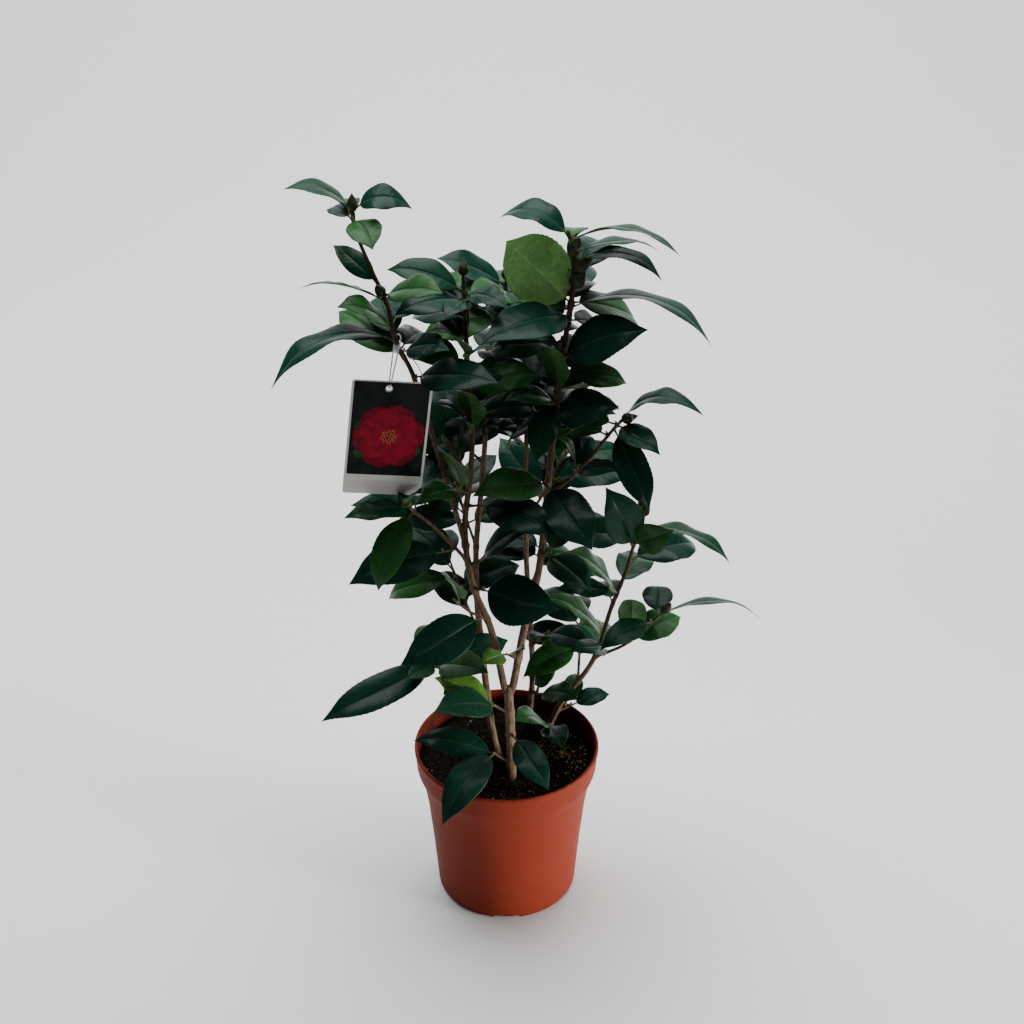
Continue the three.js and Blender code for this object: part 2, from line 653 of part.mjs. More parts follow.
// Leaves that the rule adds to a shoot, spread over a fan that opens towards one side.
function ruleLeaves(from, to, count, facing, seed) {
  const random = seededRandom(seed);
  const pick = ([least, most]) => least + (most - least) * random();
  const start = random() * RULE_FAN;
  return Array.from({ length: count }, (_, k) => ({
    height: from + ((to - from) * (k + 0.5 + RULE_HEIGHT_SPREAD * (random() - 0.5))) / Math.max(count, 1),
    bearing: facing - RULE_FAN / 2 + ((start + LEAF_TURN * k) % RULE_FAN),
    rise: pick(RULE_RISE),
    length: pick(RULE_LENGTH),
    wide: LEAF_WIDE * pick(RULE_WIDTHS),
    arch: LEAF_ARCH * pick(RULE_ARCHES),
  }));
}

const ROUNDING_PER_MM = 1e4;
const MERGE_TOLERANCE = 1e-3;
const JOIN_ATTEMPTS = 20;
const JOIN_HAIR = 0.011;

const parts = [];
function addNode(name, geometry, colour, roughness) {
  const material = new THREE.MeshStandardMaterial({ color: colour, roughness, metalness: 0 });
  const mesh = new THREE.Mesh(geometry, material);
  mesh.name = name;
  parts.push(mesh);
}

// The same solid with its near corners merged, or null where that opens it.
function mergedSolid(solid) {
  try {
    return toManifold(fromManifold(solid), MERGE_TOLERANCE);
  } catch {
    return null;
  }
}

// Whether a solid is still closed once its corners are rounded, as they are in a written file.
function staysClosed(solid) {
  if (!solid) return false;
  const { vertProperties, triVerts } = solid.getMesh();
  const corner = (index) =>
    [0, 1, 2].map((k) => Math.round(vertProperties[3 * index + k] * ROUNDING_PER_MM)).join();
  const open = new Set();
  for (let i = 0; i < triVerts.length; i += 3) {
    const face = [0, 1, 2].map((k) => corner(triVerts[i + k]));
    if (new Set(face).size < 3) return false;
    for (let k = 0; k < 3; k++) {
      const [from, to] = [face[k], face[(k + 1) % 3]];
      if (open.has(from + " " + to)) return false;
      if (!open.delete(to + " " + from)) open.add(from + " " + to);
    }
  }
  return open.size === 0;
}

// Joins a mass's stem, leaves and buds into one solid, a hair thicker where faces nearly meet.
function joinMass(name, bodies) {
  for (let attempt = 0; attempt < JOIN_ATTEMPTS; attempt++) {
    const solids = bodies.map((rings) => toManifold(closedGeometry(ringFaces(rings(attempt * JOIN_HAIR)))));
    const joined = solids.reduce((whole, next) => whole.add(next));
    const largest = joined.decompose().sort((a, b) => b.volume() - a.volume())[0];
    if (!staysClosed(largest) || !staysClosed(mergedSolid(largest))) continue;
    addNode(name, fromManifold(largest), LEAF_GREEN, 0.4);
    return;
  }
  throw new Error(name + " can't be joined into a closed solid");
}

// Pot: a thin tapering wall with a banded rim, two small ledges and a notched foot.
function potProfile(inset) {
  const high = POT_HEIGHT - inset;
  return [
    [RIM_RADIUS - inset, high],
    [RIM_RADIUS - RIM_BAND_TAPER - inset, POT_HEIGHT - RIM_BAND],
    [SHOULDER_RADIUS - inset, POT_HEIGHT - SHOULDER_DROP],
    [LEDGE_RADII[0] - inset, POT_HEIGHT - LEDGE_DROPS[0]],
    [LEDGE_RADII[1] - inset, POT_HEIGHT - LEDGE_DROPS[1]],
    [BASE_RADIUS - inset, BASE_ROUND],
  ];
}

function latheFrom(points, sides) {
  return new THREE.LatheGeometry(points.map(([x, z]) => new THREE.Vector2(x, z)), sides).rotateX(Math.PI / 2);
}

function buildPot() {
  const outer = [
    [RIM_RADIUS, POT_HEIGHT - RIM_ROUND],
    [RIM_RADIUS - RIM_BAND_TAPER, POT_HEIGHT - RIM_BAND],
    [SHOULDER_RADIUS + LEDGE_STEP, POT_HEIGHT - SHOULDER_DROP],
    [LEDGE_RADII[0] + LEDGE_STEP, POT_HEIGHT - LEDGE_DROPS[0]],
    [LEDGE_RADII[0], POT_HEIGHT - LEDGE_DROPS[0] - LEDGE_STEP],
    [LEDGE_RADII[1] + LEDGE_STEP, POT_HEIGHT - LEDGE_DROPS[1]],
    [LEDGE_RADII[1], POT_HEIGHT - LEDGE_DROPS[1] - LEDGE_STEP],
    [BASE_RADIUS, BASE_ROUND],
    [BASE_RADIUS - BASE_ROUND, 0],
  ];
  const inner = potProfile(POT_WALL).slice(0, 5);
  const profile = [
    [0, 0],
    ...outer.reverse(),
    [RIM_RADIUS - RIM_ROUND, POT_HEIGHT],
    [inner[0][0] + RIM_LIP, POT_HEIGHT],
    [inner[0][0], POT_HEIGHT - RIM_ROUND],
    ...inner.slice(1),
    [BASE_RADIUS - NOTCH_DEPTH - POT_WALL, FOOT_THICKNESS + INNER_FOOT_RISE],
    [BASE_RADIUS - NOTCH_DEPTH - POT_WALL - INNER_FOOT_STEP, POT_WALL],
    [0, POT_WALL],
  ];
  let solid = toManifold(latheFrom(profile, POT_SIDES));
  for (let i = 0; i < NOTCH_COUNT; i++) {
    const angle = (2 * Math.PI * (i + 0.5)) / NOTCH_COUNT;
    const notch = new THREE.BoxGeometry(2 * NOTCH_DEPTH, NOTCH_WIDTH, 2 * NOTCH_HEIGHT)
      .translate(BASE_RADIUS, 0, 0)
      .rotateZ(angle);
    solid = solid.subtract(toManifold(notch));
  }
  addNode("pot", fromManifold(solid), POT_RED, 0.5);
}

function buildSoil() {
  const inside = potProfile(POT_WALL + GAP);
  const floor = POT_WALL + GAP;
  const foot = BASE_RADIUS - NOTCH_DEPTH - POT_WALL - GAP - SOIL_FOOT_ROOM;
  const slope = (inside[0][0] - inside[1][0]) / RIM_BAND;
  const topRadius = inside[1][0] + slope * (SOIL_TOP - inside[1][1]) - GAP;
  const profile = [
    [0, floor],
    [foot, floor],
    [foot + SOIL_FOOT_STEP, FOOT_THICKNESS + SOIL_FOOT_RISE],
    ...inside.slice(1, 5).reverse(),
    [topRadius, SOIL_TOP],
    [0, SOIL_TOP],
  ];
  addNode("soil", latheFrom(profile, SOIL_SIDES), SOIL_BROWN, 1);
}

// Label: a thin card with an eyelet, hung by a loop round the far left stem.
function labelTurn(geometry) {
  return geometry
    .rotateX(Math.PI / 2)
    .rotateY(radians(LABEL_TILT))
    .rotateZ(radians(LABEL_YAW))
    .translate(...LABEL_HOLE);
}

function labelCard() {
  const left = -LABEL_HOLE_INSET;
  const right = left + LABEL_WIDTH;
  const top = LABEL_HOLE_DROP;
  const bottom = top - LABEL_HEIGHT;
  const outline = new THREE.Shape();
  const corners = [[left, bottom], [right, bottom], [right, top], [left, top]];
  corners.forEach(([x, y], i) => {
    const before = new THREE.Vector2(...corners[(i + 3) % 4]);
    const after = new THREE.Vector2(...corners[(i + 1) % 4]);
    const corner = new THREE.Vector2(x, y);
    const enter = corner.clone().add(before.sub(corner).setLength(LABEL_CORNER));
    const leave = corner.clone().add(after.sub(corner).setLength(LABEL_CORNER));
    if (i === 0) outline.moveTo(enter.x, enter.y);
    else outline.lineTo(enter.x, enter.y);
    outline.quadraticCurveTo(x, y, leave.x, leave.y);
  });
  const hole = new THREE.Path().absarc(0, 0, LABEL_HOLE_RADIUS, 0, 2 * Math.PI, true);
  outline.holes.push(hole);
  const card = new THREE.ExtrudeGeometry(outline, { depth: LABEL_THICKNESS, bevelEnabled: false, curveSegments: 3 });
  return labelTurn(card.translate(0, 0, -LABEL_THICKNESS / 2));
}

class LoopCurve extends THREE.Curve {
  constructor(upper, lower, across, radius) {
    super();
    Object.assign(this, { upper, lower, across, radius, down: lower.clone().sub(upper).normalize() });
  }
  getPoint(share, target = new THREE.Vector3()) {
    const angle = 2 * Math.PI * share;
    const centre = Math.cos(angle) > 0 ? this.upper : this.lower;
    return target
      .copy(centre)
      .addScaledVector(this.down, -this.radius * Math.cos(angle))
      .addScaledVector(this.across, this.radius * Math.sin(angle));
  }
}

function tieRings() {
  const stem = shoots.get("far_left_bough");
  const share = shareAtHeight(stem.points, TIE_HEIGHT);
  const stemWay = pathTangent(stem.points, share);
  const hook = pathPoint(stem.points, share);
  const hole = vector(LABEL_HOLE);
  const down = hole.clone().sub(hook).normalize();
  const normal = stemWay.clone().addScaledVector(down, -stemWay.dot(down)).normalize();
  const across = new THREE.Vector3().crossVectors(normal, down);
  const reach = TIE_LOOP_RADIUS;
  const upper = hook.addScaledVector(down, -TIE_RISE);
  const lower = hole.addScaledVector(down, -reach + LABEL_HOLE_RADIUS - TIE_RADIUS - GAP - TIE_LOWER_ROOM);
  const loop = new LoopCurve(upper, lower, across, reach);
  return Array.from({ length: TIE_STEPS }, (_, i) => {
    const share = (i + 0.5) / TIE_STEPS;
    const way = loop.getPoint(share + 0.01).sub(loop.getPoint(share - 0.01)).normalize();
    const outward = new THREE.Vector3().crossVectors(way, normal).normalize();
    return Array.from({ length: TIE_SIDES }, (_, k) => {
      const angle = (2 * Math.PI * k) / TIE_SIDES;
      return loop
        .getPoint(share)
        .addScaledVector(outward, TIE_RADIUS * Math.cos(angle))
        .addScaledVector(normal, TIE_RADIUS * Math.sin(angle));
    });
  });
}

// Faces of a tube that closes on itself, turned to face out.
function loopFaces(rings) {
  const faces = [];
  rings.forEach((ring, i) => {
    const next = rings[(i + 1) % rings.length];
    ring.forEach((point, k) => {
      const after = (k + 1) % ring.length;
      faces.push([point, next[after], ring[after]], [point, next[k], next[after]]);
    });
  });
  return faces;
}

buildPot();
buildSoil();

SHOOTS.forEach(readyShoot);
TWIGS.map(twigShoot).forEach(readyShoot);

const card = labelCard();
const cardPoints = card.attributes.position;
const cardFaces = [];
for (let i = 0; i < cardPoints.count; i += 3) {
  cardFaces.push([0, 1, 2].map((k) => new THREE.Vector3().fromBufferAttribute(cardPoints, i + k)));
}
standing.push(solidItem("label", cardFaces));
const tieFaces = loopFaces(tieRings());
standing.push(solidItem("label_tie", tieFaces));

for (const shoot of shoots.values()) {
  shoot.isTwig = shoot.path.length === 3 && !shoot.bare;
  if (shoot.splitShare > shoot.start) {
    const rings = limbRings(shoot, shoot.start, shoot.splitShare, 0, LIMB_SIDES, LIMB_STEP);
    addNode(shoot.name, closedGeometry(ringFaces(rings)), BARK, 0.8);
    addTubeItems(shoot.name, limbRings(shoot, shoot.start, shoot.splitShare, LEAF_ROOM, LIMB_SIDES, LIMB_STEP));
  }
  if (!shoot.bare) {
    const length = pathPoint(shoot.points, 0).distanceTo(pathPoint(shoot.points, 1));
    shoot.stemStart = shoot.splitShare > shoot.start ? shoot.splitShare + GAP / length : shoot.start;
    shoot.mass = shoot.splitShare > shoot.start ? shoot.name + "_foliage" : shoot.name;
    shoot.bodies = [(extra) => limbRings(shoot, shoot.stemStart, 1, extra, TWIG_SIDES, TWIG_STEP)];
    addTubeItems(shoot.mass, limbRings(shoot, shoot.stemStart, 1, LEAF_ROOM, TWIG_SIDES, TWIG_STEP));
  }
}

function grow(shoot, specs, rings) {
  for (const spec of specs) {
    const share = shoot.isTwig ? spec.height : shareAtHeight(shoot.points, spec.height);
    const root = pathPoint(shoot.points, Math.max(share, shoot.stemStart + 0.02));
    const fitted = placed(shoot.mass, root, spec, rings);
    if (fitted) shoot.bodies.push((extra) => rings(root, fitted, extra));
  }
}

const leafy = [...shoots.values()].filter((shoot) => !shoot.bare);
for (const shoot of leafy) grow(shoot, shoot.leaves ?? [], leafRings);
for (const shoot of leafy) grow(shoot, shoot.buds ?? [], budRings);
leafy.forEach((shoot, index) => {
  const seed = FIRST_SEED + SEED_STEP * index;
  const [from, to] = RULE_TWIG_SHARES;
  const fill = shoot.fill ?? { from, to, count: shoot.count ?? 0, facing: shoot.facing };
  grow(shoot, ruleLeaves(fill.from, fill.to, fill.count, fill.facing, seed), leafRings);
});
for (const shoot of leafy) joinMass(shoot.mass, shoot.bodies);

addNode("label", card, LABEL_PAPER, 0.4);
addNode("label_tie", closedGeometry(tieFaces), TIE_WHITE, 0.6);

const shrub = new THREE.Group();
shrub.add(...parts);

export default shrub;
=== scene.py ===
"""A young camellia shrub in a nursery pot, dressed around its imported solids.

Sizes in the tables are millimetres, and every mesh is made in metres. The plant is seen from the
front by looking along +Y, with +X to the right and +Z up. Bearings are degrees from +X towards +Y.
"""

from collections import namedtuple
from math import atan2, ceil, cos, exp, hypot, pi, radians, sin, sqrt
from types import SimpleNamespace

import bpy
import numpy as np
from mathutils import Matrix, Vector, noise


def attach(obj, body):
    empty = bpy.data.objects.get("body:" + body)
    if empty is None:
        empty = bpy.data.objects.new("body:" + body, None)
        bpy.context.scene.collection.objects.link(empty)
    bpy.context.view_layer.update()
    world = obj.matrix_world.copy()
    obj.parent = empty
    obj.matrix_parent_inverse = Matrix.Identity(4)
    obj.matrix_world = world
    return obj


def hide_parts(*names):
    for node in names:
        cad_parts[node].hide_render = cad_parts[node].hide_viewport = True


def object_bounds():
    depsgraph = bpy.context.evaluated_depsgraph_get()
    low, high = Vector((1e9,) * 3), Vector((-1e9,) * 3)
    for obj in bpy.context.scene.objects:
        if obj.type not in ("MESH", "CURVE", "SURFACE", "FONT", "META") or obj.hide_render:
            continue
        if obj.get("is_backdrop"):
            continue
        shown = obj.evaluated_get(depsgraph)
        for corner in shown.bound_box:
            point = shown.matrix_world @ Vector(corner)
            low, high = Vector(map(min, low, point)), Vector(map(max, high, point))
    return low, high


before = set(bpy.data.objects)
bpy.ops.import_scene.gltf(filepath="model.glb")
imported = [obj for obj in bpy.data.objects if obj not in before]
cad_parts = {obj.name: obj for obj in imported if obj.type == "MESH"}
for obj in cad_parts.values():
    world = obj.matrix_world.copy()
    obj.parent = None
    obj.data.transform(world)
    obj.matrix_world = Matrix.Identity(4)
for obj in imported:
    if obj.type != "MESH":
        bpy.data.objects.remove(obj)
CAD_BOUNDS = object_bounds()
MM = 0.001
TAU = 2 * pi
UP = np.array((0.0, 0.0, 1.0))

# Camera and stage; a light has its place, target and size in metres, watts, colour and spread
CAMERA_PLACE = (5, -1454, 1286)
CAMERA_TARGET = (5, 0, 407)
CAMERA_LENS = 69.5
SENSOR_WIDTH = 36
CAMERA_REACH = 50
FLOOR_REACH = 4000
BACKDROP_DISTANCE = 2600
BACKDROP_HEIGHT = 4200
BACKDROP_BEND = 1300
BEND_STEPS = 24
STUDIO_GREY = (0.8, 0.8, 0.81)
WORLD_COLOUR = (0.93, 0.96, 1, 1)
WORLD_STRENGTH = 0.07
LIGHTS = (
    ("overhead", (0, 0.85, 3.0), (0, 0.75, 0), (3.0, 2.4), 190, (1, 1, 1), 180),
    ("key", (1.7, -0.6, 0.25), (0.02, 0, 0.08), (0.9, 0.35), 2.7, (1, 0.97, 0.93), 24),
)

# Pot; its outline has radius, height and rounding: up the outside, over the rim and down the inside
POT_HEIGHT = 158
BASE_RADIUS = 65
POT_OUTLINE = (
    (0.01, 0, 0), (62.5, 0, 1), (BASE_RADIUS, 2.5, 2), (65.5, 9, 1), (70, 63.3, 6), (70.45, 66, 6),
    (73.5, 97.3, 6), (73.95, 100, 6), (77.9, 124, 6), (83, 134, 7), (84.2, 151.5, 1.8), (85, 153.4, 1.4),
    (85, 156.8, 1.4), (83.7, POT_HEIGHT, 1.2), (82.3, POT_HEIGHT, 0.9), (82, 156, 0.6), (81.2, 134, 4),
    (75.2, 124, 4), (71.7, 100, 1), (60.2, 8, 2), (57, 1.8, 2), (0.01, 1.8, 0),
)
# How far below the rim's top the inner wall starts to be darkened as painted shade
RIM_INSIDE_DROP = 1.5
NOTCH_COUNT = 6
NOTCH_WIDTH = 22
NOTCH_HEIGHT = 4
NOTCH_DEPTH = 4
POT_SIDES = 192
POT_OVAL = 0.0016
SHARP_EDGE = 50

# Soil; a kind of crumb has its count, sizes, middle, spread and evenness
SOIL_TOP = 141
SOIL_RADIUS = 80.6
SOIL_RINGS = 70
SOIL_SIDES = 180
SOIL_LUMP = 1.6
SOIL_DEPTH = 5
SOIL_SINK = 0.6
SOIL_EDGE_DROP = 1.5
SOIL_WAVES = ((14, 0.3, 1), (4.2, 5.1, 0.7), (1.7, 9.4, 0.3))
CRUMB_ROOM = 2
CRUMB_KINDS = (
    (2600, (0.5, 2.1), (0, 0), SOIL_RADIUS, 0.5),
    (230, (0.6, 1.4), (52, 8), 30, 1),
    (60, (0.6, 1.4), (0, 0), SOIL_RADIUS, 0.5),
    (260, (0.5, 2.1), (4, -50), 24, 0.8),
)

# Growth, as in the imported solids
FOOT = 141.3
GAP = 0.3
PETIOLE_LENGTH = 7
PETIOLE_RADIUS = 0.95
LEAF_WIDE = 0.45
LEAF_ARCH = 0.09
LEAF_FOLD = 0.22
LEAF_FACING = 28
LEAF_TURN = 137.5
RULE_FAN = 170
RULE_RISE = (-25, 18)
RULE_LENGTH = (52, 78)
RULE_TWIG_SHARES = (0.3, 1.02)
FIRST_SEED = 101
SEED_STEP = 17
RANDOM_FACTOR = 16807
RANDOM_MODULUS = 2147483647
FLARE_SHARE = 0.7
FLARE_HEIGHT = 14
TWIG_RADII = (1.3, 1)
TWIG_LIFT = 0.12
NUDGES = (
    (0, 0), (10, 0), (-10, 0), (0, 10), (0, -10), (18, 8), (-18, 8), (18, -8), (-18, -8),
    (30, 0), (-30, 0), (0, 22), (0, -22), (30, 22), (-30, 22), (30, -22), (-30, -22),
)
SEEK_SHARE = 0.62
SEEK_STEP = 0.01
TIP_TOLERANCE = 0.4

# Further leaves at the back, by the same rule
BACK_LEAST_HEIGHT = 330
BACK_STEP = 26
BACK_ROOM = 10
BACK_FACING = 90
BACK_LEFT = -80
BACK_RIGHT = 80
BACK_REACH = 136
BACK_SEED = 611
LINE_SHARES = (0.2, 0.35, 0.5, 0.65, 0.8, 1.0)

# Finer shape of a leaf: rows run along its side veins, and swell or sink by turns
LEAF_ROWS = 37
LEAF_COLUMNS = (0.2, 0.4, 0.6, 0.8, 0.93, 1.0)
BLADE_PEAK = 0.334
POINT_START = 0.78
POINT_REACH = 0.22
POINT_NARROWING = 0.35
MIDRIB_HALF = 0.42
MIDRIB_ROWS = 30
MIDRIB_KEEL = 0.55
MIDRIB_GROOVE = 0.28
VEIN_SLANT = 0.62
VEIN_RELIEF = (0.08, 0, -0.1, 0)
TOOTH_SHARE = 0.014
TOOTH_START = 0.12
TOOTH_END = 0.97
LEAST_PROFILE = 0.025
LEAF_HALF_THICKNESS = 0.28
EDGE_HALF_THICKNESS = 0.12
MARGIN_WAVE = 0.022
TIP_CURL = 0.07
CURL_START = 0.7
CURL_REACH = 0.3
SWAY = 0.035
PETIOLE_STEPS = 5
PETIOLE_REACH = 1.25
PETIOLE_SIDES = 8

# Finer shape of stems, buds and bark
LIMB_SIDES = 20
FOOT_FLARE = 0.3
TWIG_SIDES = 12
RING_STEP = 2.2
COLLAR_SWELL = 0.55
COLLAR_REACH = 3
FORK_REACH = 9
FORK_SEAT = 0.96
LEAD_LENGTH = 15
LEAD_STEPS = 7
LEAD_NARROW = 0.8
LEAD_BACK = 4
DOME = ((0.35, 0.92), (0.65, 0.7), (0.85, 0.35))
TIP_SHARES = (1, 0.85, 0.5)
NODE_SWELL = 0.2
NODE_REACH = 2.2
BARK_GROOVE = 0.07
GREEN_SHARE = 0.9
BUD_SIDES = 14
BUD_RINGS = 18
FLOWER_BUD_SCALE = 1.25
FLOWER_BUD_SHARE = 0.31
AXIL_BUD_LENGTH = 4.2
AXIL_BUD_SHARE = 0.28
AXIL_BUD_OUT = 1.2
AXIL_RISE = 35
AXIL_BUD_RISE = 62

# Label; a row of petals has its angles, length, width, look, and height and rise in layers of print
LABEL_WIDTH = 65
LABEL_HEIGHT = 104
LABEL_THICKNESS = 1
LABEL_CORNER = 2.5
LABEL_HOLE_RADIUS = 2.6
LABEL_HOLE_DROP = 6.5
LABEL_HOLE_INSET = 30
LABEL_HOLE = (-93, -54, 555)
LABEL_TILT = 7
LABEL_YAW = 7.5
PICTURE_BORDER = 2
PICTURE_CORNER = 1.2
PICTURE_HOLE_RADIUS = 2.9
PRINT_LAYER = 0.06
PRINT_SUNK = 0.02
STRIP_HEIGHT = 18
STRIP_GAP = 0.6
STRIP_CORNER = 0.4
FLOWER_RIGHT = 1
FLOWER_HEIGHT = 36
FLOWER_ROWS = (
    ((215,), 33, 13, "picture_green", 1.8, 0),
    ((160, 330), 30, 13, "picture_green", 1.8, 0),
    (range(8, 368, 60), 29.5, 28, "picture_crimson", 3, 0.2),
    (range(38, 398, 60), 25, 24, "picture_red", 4.5, 0.2),
)
STAMEN_COUNT = 26
STAMEN_SIZE = (1.6, 1.3)
STAMEN_SPACE = 1.1
STAMEN_TURN = 0.382
STAMEN_LEVEL = 7.5
EYELET_PROFILE = ((2.1, -0.7), (3.0, -0.7), (3.3, -0.2), (3.3, 0.3), (2.9, 0.8), (2.5, 0.95), (2.1, 0.6))
EYELET_SIDES = 32
TIE_RADIUS = 0.6
TIE_LOOP_RADIUS = 4
TIE_HEIGHT = 588
TIE_RISE = 4
TIE_LOWER_ROOM = 1.6
TIE_PINCH = 0.35
TIE_STEPS = 72
TIE_SIDES = 10
CLASP_DROP = 3
CLASP_PROFILE = ((-4, 1.1), (-3.7, 1.9), (3.7, 1.9), (4, 1.1))
CLASP_SIDES = 12
LOOSE_END = ((0, 0, 0), (6, -3, 0), (12, -5, -6), (18, -6, -15), (22, -6, -26))
LOOSE_RADIUS = 0.42
LOOSE_STEPS = 30
LOOSE_SIDES = 8

# A leaf's root is a height on its shoot or a share of its twig; its width and arch are shares of its length
Leaf = namedtuple(
    "Leaf", "height bearing rise length wide arch roll tint", defaults=(LEAF_WIDE, LEAF_ARCH, None, None),
)


def shoot(name, radii, path, on=None, at=0, split=0, flare=False, bare=False, leaves=(), fill=None, buds=()):
    """A stem that is a bare limb up to its split height, with leaves and buds above it as rows of a Leaf.

    Its fill is the lowest and the highest height, the count and the facing of the leaves the rule adds.
    """
    return SimpleNamespace(**locals(), is_twig=False)


def twig(name, on, at, bearing, rise, length, leaves, count=0, facing=None):
    """A short leafy twig off a limb; the rule adds a count of leaves that face one way."""
    fill = (*RULE_TWIG_SHARES, count, bearing if facing is None else facing)
    return SimpleNamespace(
        **locals(), path=None, radii=TWIG_RADII, split=0, flare=False, bare=False, buds=(), is_twig=True,
    )


